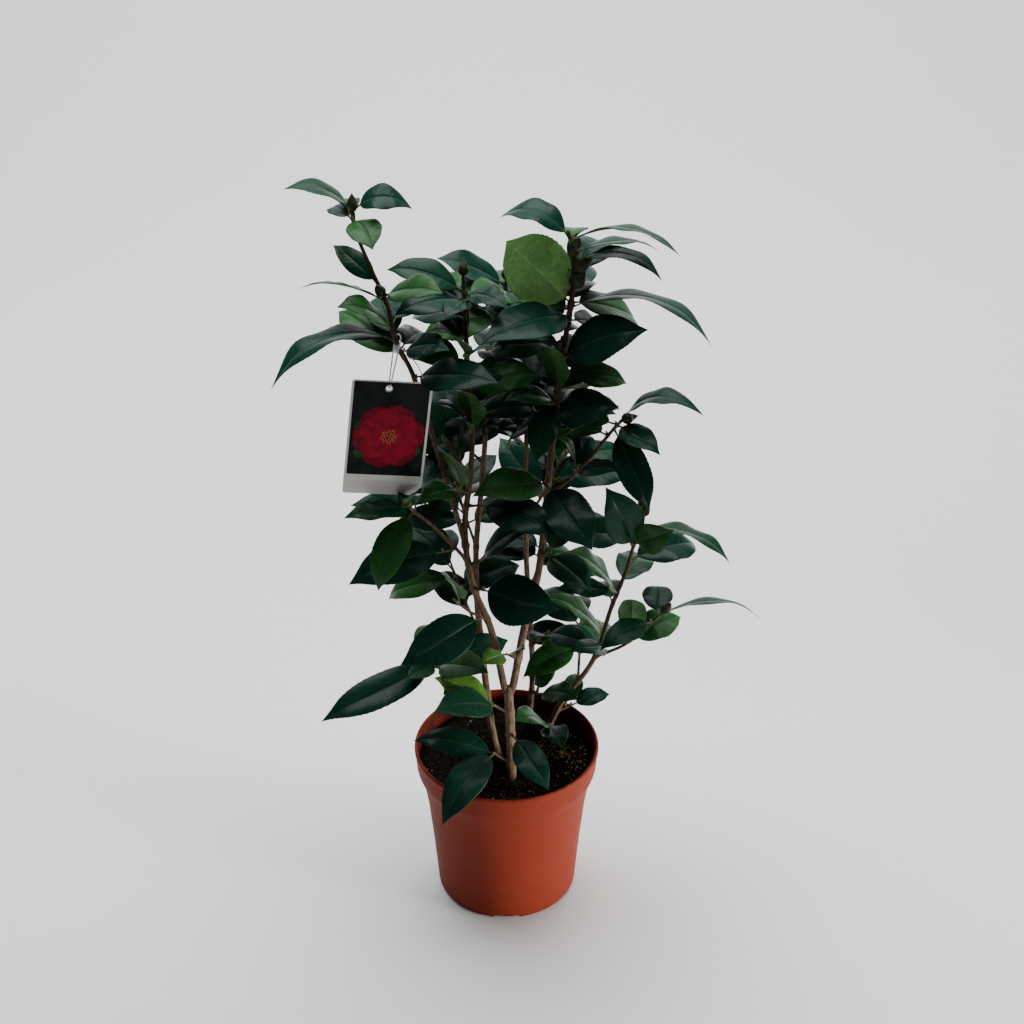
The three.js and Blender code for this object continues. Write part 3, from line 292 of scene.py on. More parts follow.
SHOOTS = [
    shoot("main_stem", radii=[4.3, 4], flare=True, bare=True, path=[
        [5, -43, FOOT], [4, -42, 193], [2, -36, 246],
    ]),
    shoot("left_cane", radii=[3.3, 1.6], split=486, path=[
        [-1.8, -36, 247.4], [-13, -30, 304], [-29, -28, 351], [-35, -25, 404], [-30, -22, 456],
        [-28, -20, 493], [-31, -18, 536], [-32, -15, 583], [-34, -11, 634],
    ], leaves=[
        Leaf(619, 178, 19, 64, arch=0.14), (613, 219, 8, 68), (617, 312, 10, 52), (612, 253, 0, 46),
        (563, 234, 47, 62, 0.5), (561, 300, 58, 50), (516, 57, 45, 48, 0.6), (495, 228, 48, 62),
        (497, 268, 57, 60),
    ], fill=(500, 626, 6, 80), buds=[(606, 285, 45, 14), (633, 80, 75, 12)]),
    shoot("right_cane", radii=[3.6, 1.6], split=486, path=[
        [5.8, -35.6, 247.4], [17, -25, 311], [28, -15, 356], [34, -8, 420], [40, -2, 490], [46, 0, 553],
        [53, 0, 607], [54, 0, 646], [49, 0, 668],
    ], leaves=[
        (657, 161, 14, 62, 0.5, 0.3, -12), (659, 340, 2, 90, 0.34, 0.16, -16),
        Leaf(648, 17, -2, 72, 0.36, roll=-12), (640, 339, 2, 74, 0.38, 0.17, -2),
        # The young leaf's brighter tint is partly its own paler green and partly painted light shining
        # through it
        Leaf(604, 200, 48, 86, 0.64, 0.04, 100, "young"), (593, 213, 7, 94),
        Leaf(556, 332, 30, 84, 0.48, roll=52, tint="deep"),
        (600, 338, -2, 120, 0.3, 0.17, -12), (605, 35, -28, 84), (589, 47, -34, 72),
        (523, 33, 22, 50, 0.3), (524, 242, 66, 64), Leaf(503, 322, 26, 66, 0.54, roll=48),
        (518, 256, -40, 58), (513, 221, 25, 60),
    ], fill=(498, 634, 7, 90), buds=[
        (660, 200, 55, 16), (653, 300, 50, 13), (633, 340, 50, 17), (618, 330, 60, 18), (607, 200, 20, 13),
        (584, 250, 40, 12),
    ]),
    shoot("far_left_bough", on="left_cane", at=388, radii=[2.4, 1.3], split=540, path=[
        [-35.5, -26, 388], [-46, -29, 440], [-60, -34, 500], [-74, -38, 557], [-87, -42, 590],
        [-93, -40, 621], [-105, -35, 650], [-116, -31, 679], [-118, -30, 696],
    ], leaves=[
        (693, 192, 28, 58, 0.46, 0.2, -6), (695, 0, 7, 46, 0.55, 0.34),
        (690, 292, -8, 46, 0.6), (688, 120, -4, 42), (694, 100, -2, 36), (636, 150, 33, 50, 0.4),
        (628, 323, 20, 62, 0.5), Leaf(624, 178, 12, 68, 0.34, roll=25), (600, 220, 38, 62, 0.55),
        (591, 208, -4, 108, 0.32, 0.19, 4), (586, 308, 46, 58, 0.6), (580, 330, 20, 46, 0.6),
        (556, 332, 12, 78, 0.46),
    ], fill=(572, 612, 3, 95), buds=[(630, 240, 50, 12), (696, 150, 80, 12)]),
    shoot("rear_left_cane", radii=[3.6, 1.5], flare=True, split=462, path=[
        [-8, 0, FOOT], [-15, 5, 185], [-25, 20, 281], [-27, 30, 346], [-21, 40, 416], [-14, 45, 502],
        [-4, 45, 548], [0, 45, 604],
    ], leaves=[
        (598, 196, 31, 66, 0.5), (572, 270, -8, 48), (548, 214, 62, 44), (474, 328, 62, 66, 0.5),
    ], fill=(478, 600, 9, 110), buds=[(604, 60, 80, 12)]),
    shoot("rear_cane", radii=[3, 1.4], flare=True, split=430, path=[
        [20, 45, FOOT], [24, 45, 210], [18, 50, 326], [17, 55, 407], [19, 55, 472], [28, 55, 520],
        [26, 53, 590],
    ], leaves=[
        (503, 229, 33, 52), (440, 216, 40, 58, 0.5), (462, 230, 17, 42),
    ], fill=(446, 586, 10, 70), buds=[(590, 100, 80, 12)]),
    shoot("right_bough", radii=[2.8, 1.3], flare=True, split=258, path=[
        [36, 33, FOOT], [52, 25, 188], [73, 15, 229], [84, 5, 264], [92, 0, 305], [105, -5, 352],
        [113, -5, 392], [117, -5, 414],
    ], leaves=[
        Leaf(376, 212, 66, 72, 0.5, roll=-100), Leaf(378, 317, 58, 50, 0.6, roll=95),
        (392, 335, -4, 86, 0.32, 0.14, -12), (322, 213, 52, 84), (325, 183, 9, 54, 0.36),
        (274, 209, 58, 88, 0.32),
    ], fill=(300, 396, 4, 105), buds=[(408, 300, 55, 14), (413, 80, 70, 12)]),
    shoot("shoulder_bough", on="right_cane", at=428, radii=[1.9, 1.2], split=470, path=[
        [34.6, -7.2, 428], [52, -8, 443], [69, -10, 464], [86, -15, 492], [98, -16, 508],
    ], leaves=[
        (505, 343, 16, 70, 0.38, 0.26, 2), (500, 307, 0, 54),
        Leaf(497, 307, -48, 74, 0.4, tint="deep"), (501, 150, -10, 44),
    ], fill=(482, 500, 1, 95), buds=[(508, 320, 40, 13), (506, 10, 10, 11)]),
    shoot("left_low_bough", on="left_cane", at=374, radii=[1.7, 1.2], split=424, path=[
        [-32.6, -26.6, 374], [-46, -35, 396], [-62, -46, 422], [-76, -54, 440], [-82, -57, 450],
    ], leaves=[
        (446, 202, 4, 56, 0.36), (441, 231, -48, 72, 0.42), (447, 300, 50, 32, 0.6),
    ], fill=(432, 446, 2, 110), buds=[(449, 200, 60, 12)]),
    shoot("right_side_shoot", on="right_bough", at=248, radii=[1.5, 1.1], split=0, path=[
        [78.6, 9.6, 248], [106, -5, 272], [123, -10, 294], [137, -15, 312],
    ], leaves=[
        (277, 266, 72, 64, 0.4), (307, 90, 8, 46, 0.6), (311, 3, 1, 86, 0.26, 0.12, -22),
        (301, 220, 0, 60, 0.4), (258, 224, 30, 54, 0.4),
    ], fill=(272, 300, 2, 90), buds=[(312, 330, 60, 13)]),
    shoot("lower_left_shoot", on="rear_left_cane", at=208, radii=[1.8, 1.2], split=0, path=[
        [-17.5, 8.2, 208], [-42, -6, 238], [-60, -18, 256], [-65, -22, 262],
    ], leaves=[
        Leaf(260, 207, -11, 112, 0.3, arch=0.06, tint="deep"), (258, 318, 22, 66, 0.5), (256, 208, 4, 40),
        (228, 237, 16, 42), (262, 100, 10, 56),
    ], fill=(230, 258, 3, 110), buds=[(262, 250, 70, 12)]),
]

TWIGS = [
    twig("left_upper_twig", "left_cane", 440, 232, 35, 14, [
        (0.6, 238, 50, 68, 0.5), (0.9, 221, 17, 48, 0.55),
    ]),
    twig("left_inner_twig", "left_cane", 428, 325, 20, 12, [Leaf(0.9, 334, -6, 72, 0.5, tint="deep")]),
    twig("left_middle_twig", "left_cane", 370, 335, 35, 12, [Leaf(0.9, 340, 44, 60, tint="deep")]),
    twig("left_low_twig", "left_low_bough", 392, 215, 0, 10, [
        Leaf(0.9, 205, -5, 86, 0.44, roll=-40, tint="deep"),
    ]),
    twig("left_green_twig", "left_cane", 316, 222, 45, 52, [
        Leaf(0.15, 214, -12, 84, 0.46, roll=-45, tint="deep"), (0.8, 236, 62, 50, 0.5),
    ], 1, 95),
    twig("centre_low_twig", "left_cane", 348, 312, 15, 9, [
        Leaf(0.9, 332, 3, 72, 0.62, roll=50, tint="deep"),
    ]),
    twig("centre_front_twig", "right_cane", 440, 262, 20, 13, [
        (0.35, 213, 12, 74, 0.5), Leaf(0.8, 306, -24, 70, 0.6, tint="deep"),
    ]),
    twig("right_middle_twig", "right_cane", 372, 300, 30, 12, [
        (0.7, 316, -3, 62, 0.5), (0.9, 30, 60, 50, 0.6),
    ]),
    twig("right_fork_twig", "right_cane", 276, 215, 35, 12, [
        Leaf(0.9, 228, 15, 34, 0.6, tint="fresh"), (0.5, 300, 45, 30, 0.5),
    ]),
    twig("shoulder_twig", "shoulder_bough", 446, 300, 50, 14, [
        (0.6, 318, 26, 52), (0.9, 200, 66, 42, 0.4), (0.8, 75, 20, 46),
    ]),
    twig("foot_left_twig", "main_stem", 168, 190, 40, 14, [
        Leaf(0.8, 176, 11, 76, 0.36, tint="deep"), Leaf(0.95, 233, -22, 82, 0.4, arch=0.2, tint="deep"),
    ]),
    twig("foot_right_twig", "main_stem", 200, 280, 30, 8, [Leaf(0.9, 304, -22, 60, 0.46, tint="deep")]),
    twig("stem_left_twig", "main_stem", 222, 205, 40, 14, [
        (0.8, 215, 20, 68, 0.5), Leaf(0.95, 180, 25, 58, tint="fresh"),
    ]),
    twig("rear_foot_twig", "rear_cane", 184, 300, 20, 10, [
        (0.9, 334, 14, 52, 0.5), (0.5, 20, 60, 36),
    ], 1, 60),
    twig("right_foot_front_twig", "right_bough", 157, 250, 25, 10, [
        Leaf(0.7, 232, 38, 60, 0.5, tint="mid"), (0.9, 287, 14, 50, 0.5),
    ]),
    twig("rear_low_twig", "rear_cane", 236, 325, 50, 24, [
        (0.3, 327, 20, 48, 0.36), (0.9, 318, 12, 52, 0.5), (0.7, 250, 30, 34),
    ], 1, 60),
    twig("right_foot_twig", "right_bough", 174, 20, 10, 9, [
        Leaf(0.9, 22, 4, 42, tint="deep"), (0.6, 75, 15, 44),
    ]),
    twig("back_left_low_shoot", "rear_left_cane", 268, 125, 48, 66, [], 7, 100),
    twig("back_left_middle_shoot", "rear_left_cane", 352, 115, 46, 72, [], 8),
    twig("back_left_high_shoot", "rear_left_cane", 432, 165, 45, 56, [], 7),
    twig("back_right_low_shoot", "rear_cane", 292, 65, 42, 68, [], 8, 75),
    twig("back_right_middle_shoot", "rear_cane", 366, 45, 45, 68, [], 8, 75),
    twig("back_right_high_shoot", "right_cane", 462, 75, 42, 56, [], 6),
    twig("left_back_shoot", "left_cane", 456, 140, 45, 46, [], 6),
    twig("right_low_back_shoot", "right_bough", 214, 85, 48, 54, [], 6, 115),
]


def direction(bearing, rise):
    """The unit vector of a bearing and a rise in degrees."""
    turn = radians(bearing)
    lift = radians(rise)
    return np.array((cos(lift) * cos(turn), cos(lift) * sin(turn), sin(lift)))


def seeded_random(seed):
    """A repeatable stream of numbers between 0 and 1."""
    state = seed * RANDOM_FACTOR % RANDOM_MODULUS
    while True:
        state = state * RANDOM_FACTOR % RANDOM_MODULUS
        yield state / RANDOM_MODULUS


def between(low, high, share):
    """The number at a share of the way from low to high."""
    return low + (high - low) * share


def unit(vector):
    """The vector at length 1."""
    return vector / np.linalg.norm(vector)


def path_point(points, share):
    """The point at a share of a smooth path through the given points."""
    spans = len(points) - 1
    scaled = min(max(share, 0), 1) * spans
    span = min(int(scaled), spans - 1)
    t = scaled - span
    a = points[span]
    b = points[span + 1]
    before = points[span - 1] if span > 0 else 2 * a - b
    after = points[span + 2] if span < spans - 1 else 2 * b - a
    return 0.5 * (
        2 * a + (b - before) * t + (2 * before - 5 * a + 4 * b - after) * t**2
        + (3 * a - before - 3 * b + after) * t**3
    )


def path_tangent(points, share):
    """The unit direction of a path at a share of it."""
    step = 0.002
    return unit(path_point(points, share + step) - path_point(points, share - step))


def share_at_height(points, height):
    """The share of a rising path at which it reaches a height."""
    low = 0
    high = 1
    for _ in range(30):
        middle = (low + high) / 2
        if path_point(points, middle)[2] < height:
            low = middle
        else:
            high = middle
    return (low + high) / 2


def radius_at(stem, share, flared=True):
    """The radius of a stem at a share of its path, wider at a foot that stands in the soil."""
    flare = 1 + FLARE_SHARE if flared and stem.flare and share == 0 else 1
    return between(*stem.radii, share) * flare


class Shape:
    """A mesh under construction: corners in millimetres, faces and the material of each face."""

    def __init__(self):
        self.corners, self.faces, self.slots = [], [], []

    def add(self, corners, faces, slot):
        """Adds corners and the faces between them; slot is one number or one a face."""
        base = len(self.corners)
        self.corners.extend(map(tuple, corners))
        self.faces.extend(tuple(base + i for i in face) for face in faces)
        self.slots.extend([slot] * len(faces) if isinstance(slot, int) else slot)

    def to_object(self, name, materials, smooth=True):
        """Makes the Blender object, in metres."""
        mesh = bpy.data.meshes.new(name)
        mesh.from_pydata([(x * MM, y * MM, z * MM) for x, y, z in self.corners], [], self.faces)
        for material in materials:
            mesh.materials.append(material)
        mesh.polygons.foreach_set("material_index", self.slots)
        mesh.polygons.foreach_set("use_smooth", [smooth] * len(self.faces))
        mesh.update()
        result = bpy.data.objects.new(name, mesh)
        bpy.context.scene.collection.objects.link(result)
        return result


def grid_faces(rows, columns, closed=False, flip=False, looped=False):
    """Faces of a grid of corners: closed joins its last column to its first, looped its last row."""
    faces = []
    for row in range(rows if looped else rows - 1):
        start = row * columns
        below = (row + 1) % rows * columns
        for column in range(columns if closed else columns - 1):
            after = (column + 1) % columns
            face = (start + column, start + after, below + after, below + column)
            faces.append(face[::-1] if flip else face)
    return faces


def circle(radius, sides):
    """The outline of a circle."""
    return [(radius * cos(TAU * k / sides), radius * sin(TAU * k / sides)) for k in range(sides)]


def wheel(sides, first, second):
    """The spokes of a wheel in the plane of two directions."""
    angles = np.arange(sides) * TAU / sides
    return np.outer(np.cos(angles), first) + np.outer(np.sin(angles), second)


def ring(centre, axis, radii):
    """A ring of corners with a radius each; the rings of a stem line up."""
    helper = np.array((0, 1, 0)) if abs(axis[1]) < 0.9 else np.array((1, 0, 0))
    first = unit(np.cross(helper, axis))
    return centre + wheel(len(radii), first, np.cross(axis, first)) * np.asarray(radii)[:, None]


def add_tube(shape, rings, slot):
    """Adds a closed tube through rings of equal size; slot is one number or one a stretch."""
    sides = len(rings[0])
    faces = grid_faces(len(rings), sides, closed=True)
    slots = [slot] * len(faces) if isinstance(slot, int) else [s for s in slot for _ in range(sides)]
    last = (len(rings) - 1) * sides
    faces.append(tuple(range(sides - 1, -1, -1)))
    faces.append(tuple(range(last, last + sides)))
    shape.add(np.concatenate(rings), faces, [*slots, slots[0], slots[-1]])


# Materials
def principled(name, colour, roughness, specular=0.5):
    """A new material with plain values on its Principled shader."""
    material = bpy.data.materials.new(name)
    material.use_nodes = True
    inputs = material.node_tree.nodes["Principled BSDF"].inputs
    inputs["Base Color"].default_value = (*colour, 1)
    inputs["Roughness"].default_value = roughness
    inputs["Specular IOR Level"].default_value = specular
    return material


def spotted(
    name, dark, light, size, roughness, specular=0.5, colour=None,
    bump=0, bump_size=None, stretch=(1, 1, 1), uneven=False,
):
    """A material with a fine mottle of two colours, and grain and uneven gloss where asked."""
    middle = colour or [(a + b) / 2 for a, b in zip(dark, light)]
    material = principled(name, middle, roughness, specular)
    nodes = material.node_tree.nodes
    links = material.node_tree.links
    shader = nodes["Principled BSDF"].inputs

    def node(kind, fed, source, **values):
        made = nodes.new("ShaderNode" + kind)
        links.new(source, made.inputs[fed])
        for key, value in values.items():
            made.inputs[key.replace("_", " ")].default_value = value
        return made

    place = nodes.new("ShaderNodeTexCoord").outputs["Object"]
    place = node("Mapping", "Vector", place, Scale=stretch).outputs["Vector"]
    pattern = node("TexNoise", "Vector", place, Scale=1 / (size * MM), Detail=4).outputs["Fac"]
    ramp = node("ValToRGB", "Fac", pattern)
    for element, position, tone in zip(ramp.color_ramp.elements, (0.35, 0.65), (dark, light)):
        element.position = position
        element.color = (*tone, 1)
    links.new(ramp.outputs["Color"], shader["Base Color"])
    if uneven:
        gloss = node("MapRange", "Value", pattern, To_Min=roughness - 0.05, To_Max=roughness + 0.07)
        links.new(gloss.outputs["Result"], shader["Roughness"])
    if bump:
        grain = node("TexNoise", "Vector", place, Scale=1 / ((bump_size or size) * MM), Detail=5)
        relief = node("Bump", "Height", grain.outputs["Fac"], Strength=bump, Distance=0.0006)
        links.new(relief.outputs["Normal"], shader["Normal"])
    return material


# Leaf surfaces: the tints of the upper side, then the other faces, each with its colour and roughness
LEAF_LOOKS = {
    "top_dark": ((0.0052, 0.036, 0.0175), 0.3),
    "top_deep": ((0.0028, 0.0235, 0.0145), 0.3),
    "top_blue": ((0.0034, 0.032, 0.0215), 0.3),
    "top_mid": ((0.0155, 0.07, 0.0165), 0.3),
    "top_young": ((0.045, 0.11, 0.026), 0.3),
    "top_fresh": ((0.075, 0.18, 0.026), 0.3),
    "underside": ((0.038, 0.1, 0.03), 0.5),
    "midrib": ((0.02, 0.056, 0.024), 0.4),
    "petiole": ((0.05, 0.08, 0.02), 0.45),
    # underside_lit is the pale leaves' underside brightened as painted light shining through them; top_young
    # is a young leaf's own paler green, also brightened as painted light shining through it
    "underside_lit": ((0.18, 0.4, 0.11), 0.45),
    "midrib_young": ((0.32, 0.46, 0.19), 0.4),
}
LEAF_SLOTS = {name: slot for slot, name in enumerate(LEAF_LOOKS)}
LEAF_MATERIALS = [
    spotted(
        "leaf_" + name, [0.86 * c for c in colour], [1.14 * c for c in colour], 4, roughness, 0.1, colour,
        bump=0.12, bump_size=1.4, uneven=True,
    )
    for name, (colour, roughness) in LEAF_LOOKS.items()
]
# Leaves of these tints take underside_lit, painted light shining through the leaf
PALE_TINTS = ("young", "fresh")
TINT_SHARES = (("dark", 0.38), ("deep", 0.18), ("blue", 0.2), ("mid", 0.24))

# Bark by age: the least radius, its two tones, and the bump and streaks along the stem
BARK_LOOKS = {
    "bark_old": (3.3, (0.062, 0.038, 0.022), (0.2, 0.13, 0.075), 0.7, 0.16),
    "bark_middle": (2.3, (0.048, 0.027, 0.015), (0.14, 0.083, 0.046), 0.6, 0.2),
    "bark_young": (0, (0.038, 0.02, 0.012), (0.1, 0.053, 0.03), 0.5, 0.3),
    "bark_green": (0, (0.035, 0.042, 0.012), (0.075, 0.092, 0.028), 0.3, 0.4),
}
BARK_GREEN = 3
BARK_LEAST_RADII = [look[0] for look in BARK_LOOKS.values()]
BARK_MATERIALS = [
    spotted(name, dark, light, 1.7, 0.75, 0.25, bump=relief, bump_size=0.8, stretch=(1, 1, streak))
    for name, (_, dark, light, relief, streak) in BARK_LOOKS.items()
]
BUD_MATERIALS = [
    spotted("bud_green", (0.018, 0.017, 0.008), (0.038, 0.056, 0.019), 3, 0.5, 0.2, (0.028, 0.036, 0.014)),
    spotted("bud_brown", (0.09, 0.055, 0.025), (0.15, 0.11, 0.05), 1.5, 0.55, colour=(0.12, 0.08, 0.035)),
]


# Leaves
def blade_profile(t):
    """The half width of a leaf's blade at shares of its length, 1 where it is widest."""
    body = t**0.7 * (1 - t) ** 0.9 / BLADE_PEAK
    point = np.clip((t - POINT_START) / POINT_REACH, 0, 1)
    return body * (1 - POINT_NARROWING * point * point * (3 - 2 * point))


def leaf_frame(spec):
    """The directions along, up from and across a leaf."""
    roll = LEAF_FACING * cos(radians(spec.bearing)) if spec.roll is None else spec.roll
    along = direction(spec.bearing, spec.rise)
    level = unit(np.cross(along, UP))
    upright = np.cross(level, along)
    c = cos(radians(roll))
    s = sin(radians(roll))
    return along, upright * c + level * s, level * c - upright * s


def arch_lift(spec, share):
    """How far an arched leaf lifts at a share of its length."""
    return spec.arch * spec.length * 4 * share * (1 - share)


def blade_sides(root, spec, chance):
    """The corners of a blade's two sides: veins in relief, a toothed edge and a keeled midrib."""
    along, up, side = leaf_frame(spec)
    length = spec.length
    half_width = spec.wide * length / 2
    inner = MIDRIB_HALF / half_width
    positive = [inner, *LEAF_COLUMNS]
    columns = np.array([-share for share in reversed(positive)] + [0.0] + positive)
    sign = np.sign(columns)
    reach = np.abs(columns)
    rows = np.linspace(0, 1, LEAF_ROWS)[:, None]
    t = rows + VEIN_SLANT * reach * rows * (1 - rows)
    profile = np.maximum(blade_profile(np.clip(t, 0, 1)), LEAST_PROFILE)
    tooth = np.where(np.arange(LEAF_ROWS) % 2 == 0, 1, -1)[:, None] * TOOTH_SHARE * (reach > 0.99)
    tooth = tooth * np.clip((rows - TOOTH_START) * 6, 0, 1) * np.clip((TOOTH_END - rows) * 12, 0, 1)
    half = reach * (half_width * profile * (1 + tooth))
    half = np.where(reach > inner + 1e-6, half, np.minimum(reach * half_width, 0.1 * half_width * profile))
    share = PETIOLE_LENGTH / length + (1 - PETIOLE_LENGTH / length) * t
    lift = arch_lift(spec, share)
    curl = -TIP_CURL * (0.4 + next(chance)) * length * np.clip((t - CURL_START) / CURL_REACH, 0, 1) ** 2
    wave_turn = TAU * next(chance)
    wave_count = 1.4 + 1.2 * next(chance)
    wave = MARGIN_WAVE * length * (0.4 + 0.8 * next(chance)) * np.sin(TAU * wave_count * t + wave_turn)
    wave = wave * sign * reach**2 * np.clip(profile, 0, 1)
    fold = LEAF_FOLD * (0.45 + 0.8 * next(chance)) * half_width * profile * (reach**1.2 - 0.75 * reach**3)
    vein = np.resize(VEIN_RELIEF, LEAF_ROWS)[:, None]
    vein = vein * (np.sin(pi * reach**0.8) * np.clip(profile * 1.5, 0, 1))
    groove = -MIDRIB_GROOVE * (reach < 1e-6) * np.clip(profile * 3, 0, 1)
    height = lift + curl + wave + fold + vein + groove
    across = sign * half + SWAY * length * (2 * next(chance) - 1) * 4 * t * (1 - t)
    middle = (
        root + along * (length * share)[..., None] + up * height[..., None] + side * across[..., None]
    )
    normal = np.cross(np.gradient(middle, axis=1), np.gradient(middle, axis=0))
    size = np.linalg.norm(normal, axis=2, keepdims=True)
    normal = np.where(size > 1e-9, normal / np.maximum(size, 1e-9), up)
    normal = normal * np.sign((normal @ up)[..., None] + 1e-9)
    thick = between(LEAF_HALF_THICKNESS, EDGE_HALF_THICKNESS, reach**3) * np.clip(0.35 + profile, 0, 1)
    keel = MIDRIB_KEEL * (reach < inner * 1.01) * np.clip(1.1 - t, 0, 1)
    return middle + normal * thick[..., None], middle - normal * (thick + keel)[..., None]


def add_leaf(shape, root, spec, chance):
    """Adds one leaf: a closed thin blade and a petiole."""
    top, bottom = blade_sides(root, spec, chance)
    pale = spec.tint in PALE_TINTS
    upper = LEAF_SLOTS["top_" + spec.tint]
    # Pale leaves get the brighter underside, painted light shining through them
    under = LEAF_SLOTS["underside_lit" if pale else "underside"]
    midrib = LEAF_SLOTS["midrib_young" if pale else "midrib"]
    keel = midrib if pale else LEAF_SLOTS["petiole"]
    base = len(shape.corners)
    columns = top.shape[1]
    count = LEAF_ROWS * columns
    on_rib = np.zeros((LEAF_ROWS - 1, columns - 1), bool)
    on_rib[:MIDRIB_ROWS, columns // 2 - 1 : columns // 2 + 1] = True
    for corners, rib, face, flip in ((top, midrib, upper, False), (bottom, keel, under, True)):
        slots = np.where(on_rib, rib, face).ravel().tolist()
        shape.add(corners.reshape(-1, 3), grid_faces(LEAF_ROWS, columns, flip=flip), slots)
    rim = []
    last = (LEAF_ROWS - 1) * columns
    for left in range(base, base + last, columns):
        right = left + columns - 1
        rim.append((left, left + columns, left + count + columns, left + count))
        rim.append((right, right + count, right + count + columns, right + columns))
    for start in range(base, base + columns - 1):
        end = start + last
        rim.append((start, start + count, start + count + 1, start + 1))
        rim.append((end, end + 1, end + count + 1, end + count))
    shape.faces.extend(rim)
    shape.slots.extend([under] * len(rim))
    along, up, _ = leaf_frame(spec)
    rings = []
    for step in range(PETIOLE_STEPS + 1):
        at = PETIOLE_LENGTH / spec.length * (PETIOLE_REACH * step / PETIOLE_STEPS)
        lift = arch_lift(spec, at) - 0.1
        radius = PETIOLE_RADIUS * (1.15 - 0.4 * step / PETIOLE_STEPS)
        rings.append(ring(root + along * (spec.length * at) + up * lift, along, [radius] * PETIOLE_SIDES))
    add_tube(shape, rings, LEAF_SLOTS["petiole"])


def add_bud(shape, root, bearing, rise, length, slot, radius_share):
    """Adds a pointed bud with overlapping scales."""
    along = direction(bearing, rise)
    rings = []
    for row in range(BUD_RINGS):
        t = row / (BUD_RINGS - 1)
        body = max(0.0, sin(pi * min(t**0.72, 1))) ** 0.85 * (1 - 0.3 * t * t)
        scale = (2.6 * t + 2 * (np.arange(BUD_SIDES) / BUD_SIDES)) % 1
        radii = length * radius_share * max(body, 0.04) * (0.97 + 0.09 * scale**2)
        rings.append(ring(root + along * (length * t), along, radii))
    add_tube(shape, rings, slot)


# Stems
def stem_radii(stem, share, centre, sides, knots):
    """The radii round a stem at a share of its path, with grooves, a flared foot and leaf knots."""
    height = centre[2]
    radius = radius_at(stem, share, flared=False)
    if stem.flare:
        rise = max(0.0, height - FOOT) / FLARE_HEIGHT
        radius *= 1 + FOOT_FLARE * max(0.0, 1 - rise) ** 2
    if stem.on:
        far = np.linalg.norm(centre - stem.points[0])
        beyond = max(0.0, far - stem.seat_radius) / (FORK_REACH if stem.fork else COLLAR_REACH)
        wider = FORK_SEAT * stem.seat_radius if stem.fork else radius * (1 + COLLAR_SWELL)
        radius += max(0.0, wider - radius) * exp(-(beyond**2))
    for knot in knots:
        far = np.linalg.norm(centre - knot)
        radius *= 1 + NODE_SWELL * exp(-((far / NODE_REACH) ** 2))
    grooves = []
    for x, y in circle(1, sides):
        coarse = noise.noise(Vector((2.2 * x, 2.2 * y, height / 16 + 7 * stem.order)))
        fine = noise.noise(Vector((4.5 * x, 4.5 * y, height / 5 + 3 * stem.order)))
        grooves.append(1 + BARK_GROOVE * coarse + 0.5 * BARK_GROOVE * fine)
    return radius * np.array(grooves)


def add_stem(shape, stem, low, high, sides, knots, tip=False):
    """Adds the stretch of a stem between two shares of its path."""
    start = path_point(stem.points, low)
    end = path_point(stem.points, high)
    count = max(3, round(np.linalg.norm(end - start) / RING_STEP))
    rings = []
    slots = []
    if stem.lead is not None and low == 0:
        for i in range(LEAD_STEPS):
            t = i / LEAD_STEPS
            ease = t * t * (3 - 2 * t)
            foot = stem.lead + UP * LEAD_LENGTH * t
            centre = foot * (1 - ease) + (start - path_tangent(stem.points, 0) * (1 - t) * LEAD_BACK) * ease
            radii = stem_radii(stem, 0, centre, sides, knots) * between(LEAD_NARROW, 1, t)
            rings.append(ring(centre, UP, radii))
            slots.append(bark_slot(stem, low, tip))
    for i in range(count + 1):
        share = low + (high - low) * i / count
        centre = path_point(stem.points, share)
        axis = UP if stem.flare and share == 0 else path_tangent(stem.points, share)
        radii = stem_radii(stem, share, centre, sides, knots)
        if tip and i > count - 3:
            radii = radii * TIP_SHARES[i - count + 2]
        rings.append(ring(centre, axis, radii))
        if i < count:
            slots.append(bark_slot(stem, share, tip))
    if stem.bare:
        axis = path_tangent(stem.points, 1)
        for rise, share in DOME:
            rings.append(ring(end + axis * (rise * stem.radii[1]), axis, radii * share))
            slots.append(slots[-1])
    add_tube(shape, rings, slots)


def bark_slot(stem, share, tip):
    """The bark at a share of a stem: by its radius, and green at a leafy tip."""
    if tip and share > GREEN_SHARE:
        return BARK_GREEN
    radius = radius_at(stem, share)
    return next(slot for slot, least in enumerate(BARK_LEAST_RADII) if radius > least)


# Growth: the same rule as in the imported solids, with what grew there read back from them
def node_corners(name):
    """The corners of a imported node, in millimetres."""
    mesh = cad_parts[name].data
    numbers = np.empty(len(mesh.vertices) * 3)
    mesh.vertices.foreach_get("co", numbers)
    return numbers.reshape(-1, 3) / MM


def ready_shoots():
    """Every shoot and twig by its name, with its path, its seat and its share of bare limb."""
    stems = {}
    for order, stem in enumerate([*SHOOTS, *TWIGS]):
        stem.order = order
        stem.lead = None
        if stem.on:
            parent = stems[stem.on]
            share = share_at_height(parent.points, stem.at)
            foot = path_point(parent.points, share)
            stem.seat_radius = radius_at(parent, share, flared=False)
            stem.fork = parent.bare and share > 0.9
        elif not stem.flare:
            stem.lead = stems["main_stem"].points[-1] - UP * LEAD_LENGTH
        if stem.is_twig:
            end = foot + direction(stem.bearing, stem.rise) * (stem.length + radius_at(parent, 0))
            middle = (foot + end) / 2 - UP * (TWIG_LIFT * stem.length * 0.5)
            stem.points = [foot, middle, end]
        else:
            stem.points = [np.array(point, float) for point in stem.path]
            if stem.on:
                stem.points[0] = foot
        if stem.bare:
            stem.split_share = 1
        else:
            stem.split_share = share_at_height(stem.points, stem.split) if stem.split else 0
        stem.mass = stem.name + "_foliage" if stem.split_share > 0 else stem.name
        stem.leaves = [Leaf(*row) for row in stem.leaves]
        stem.buds = [Leaf(*row) for row in stem.buds]
        stem.grown, stem.budded, stem.back = [], [], []
        stems[stem.name] = stem
    return stems


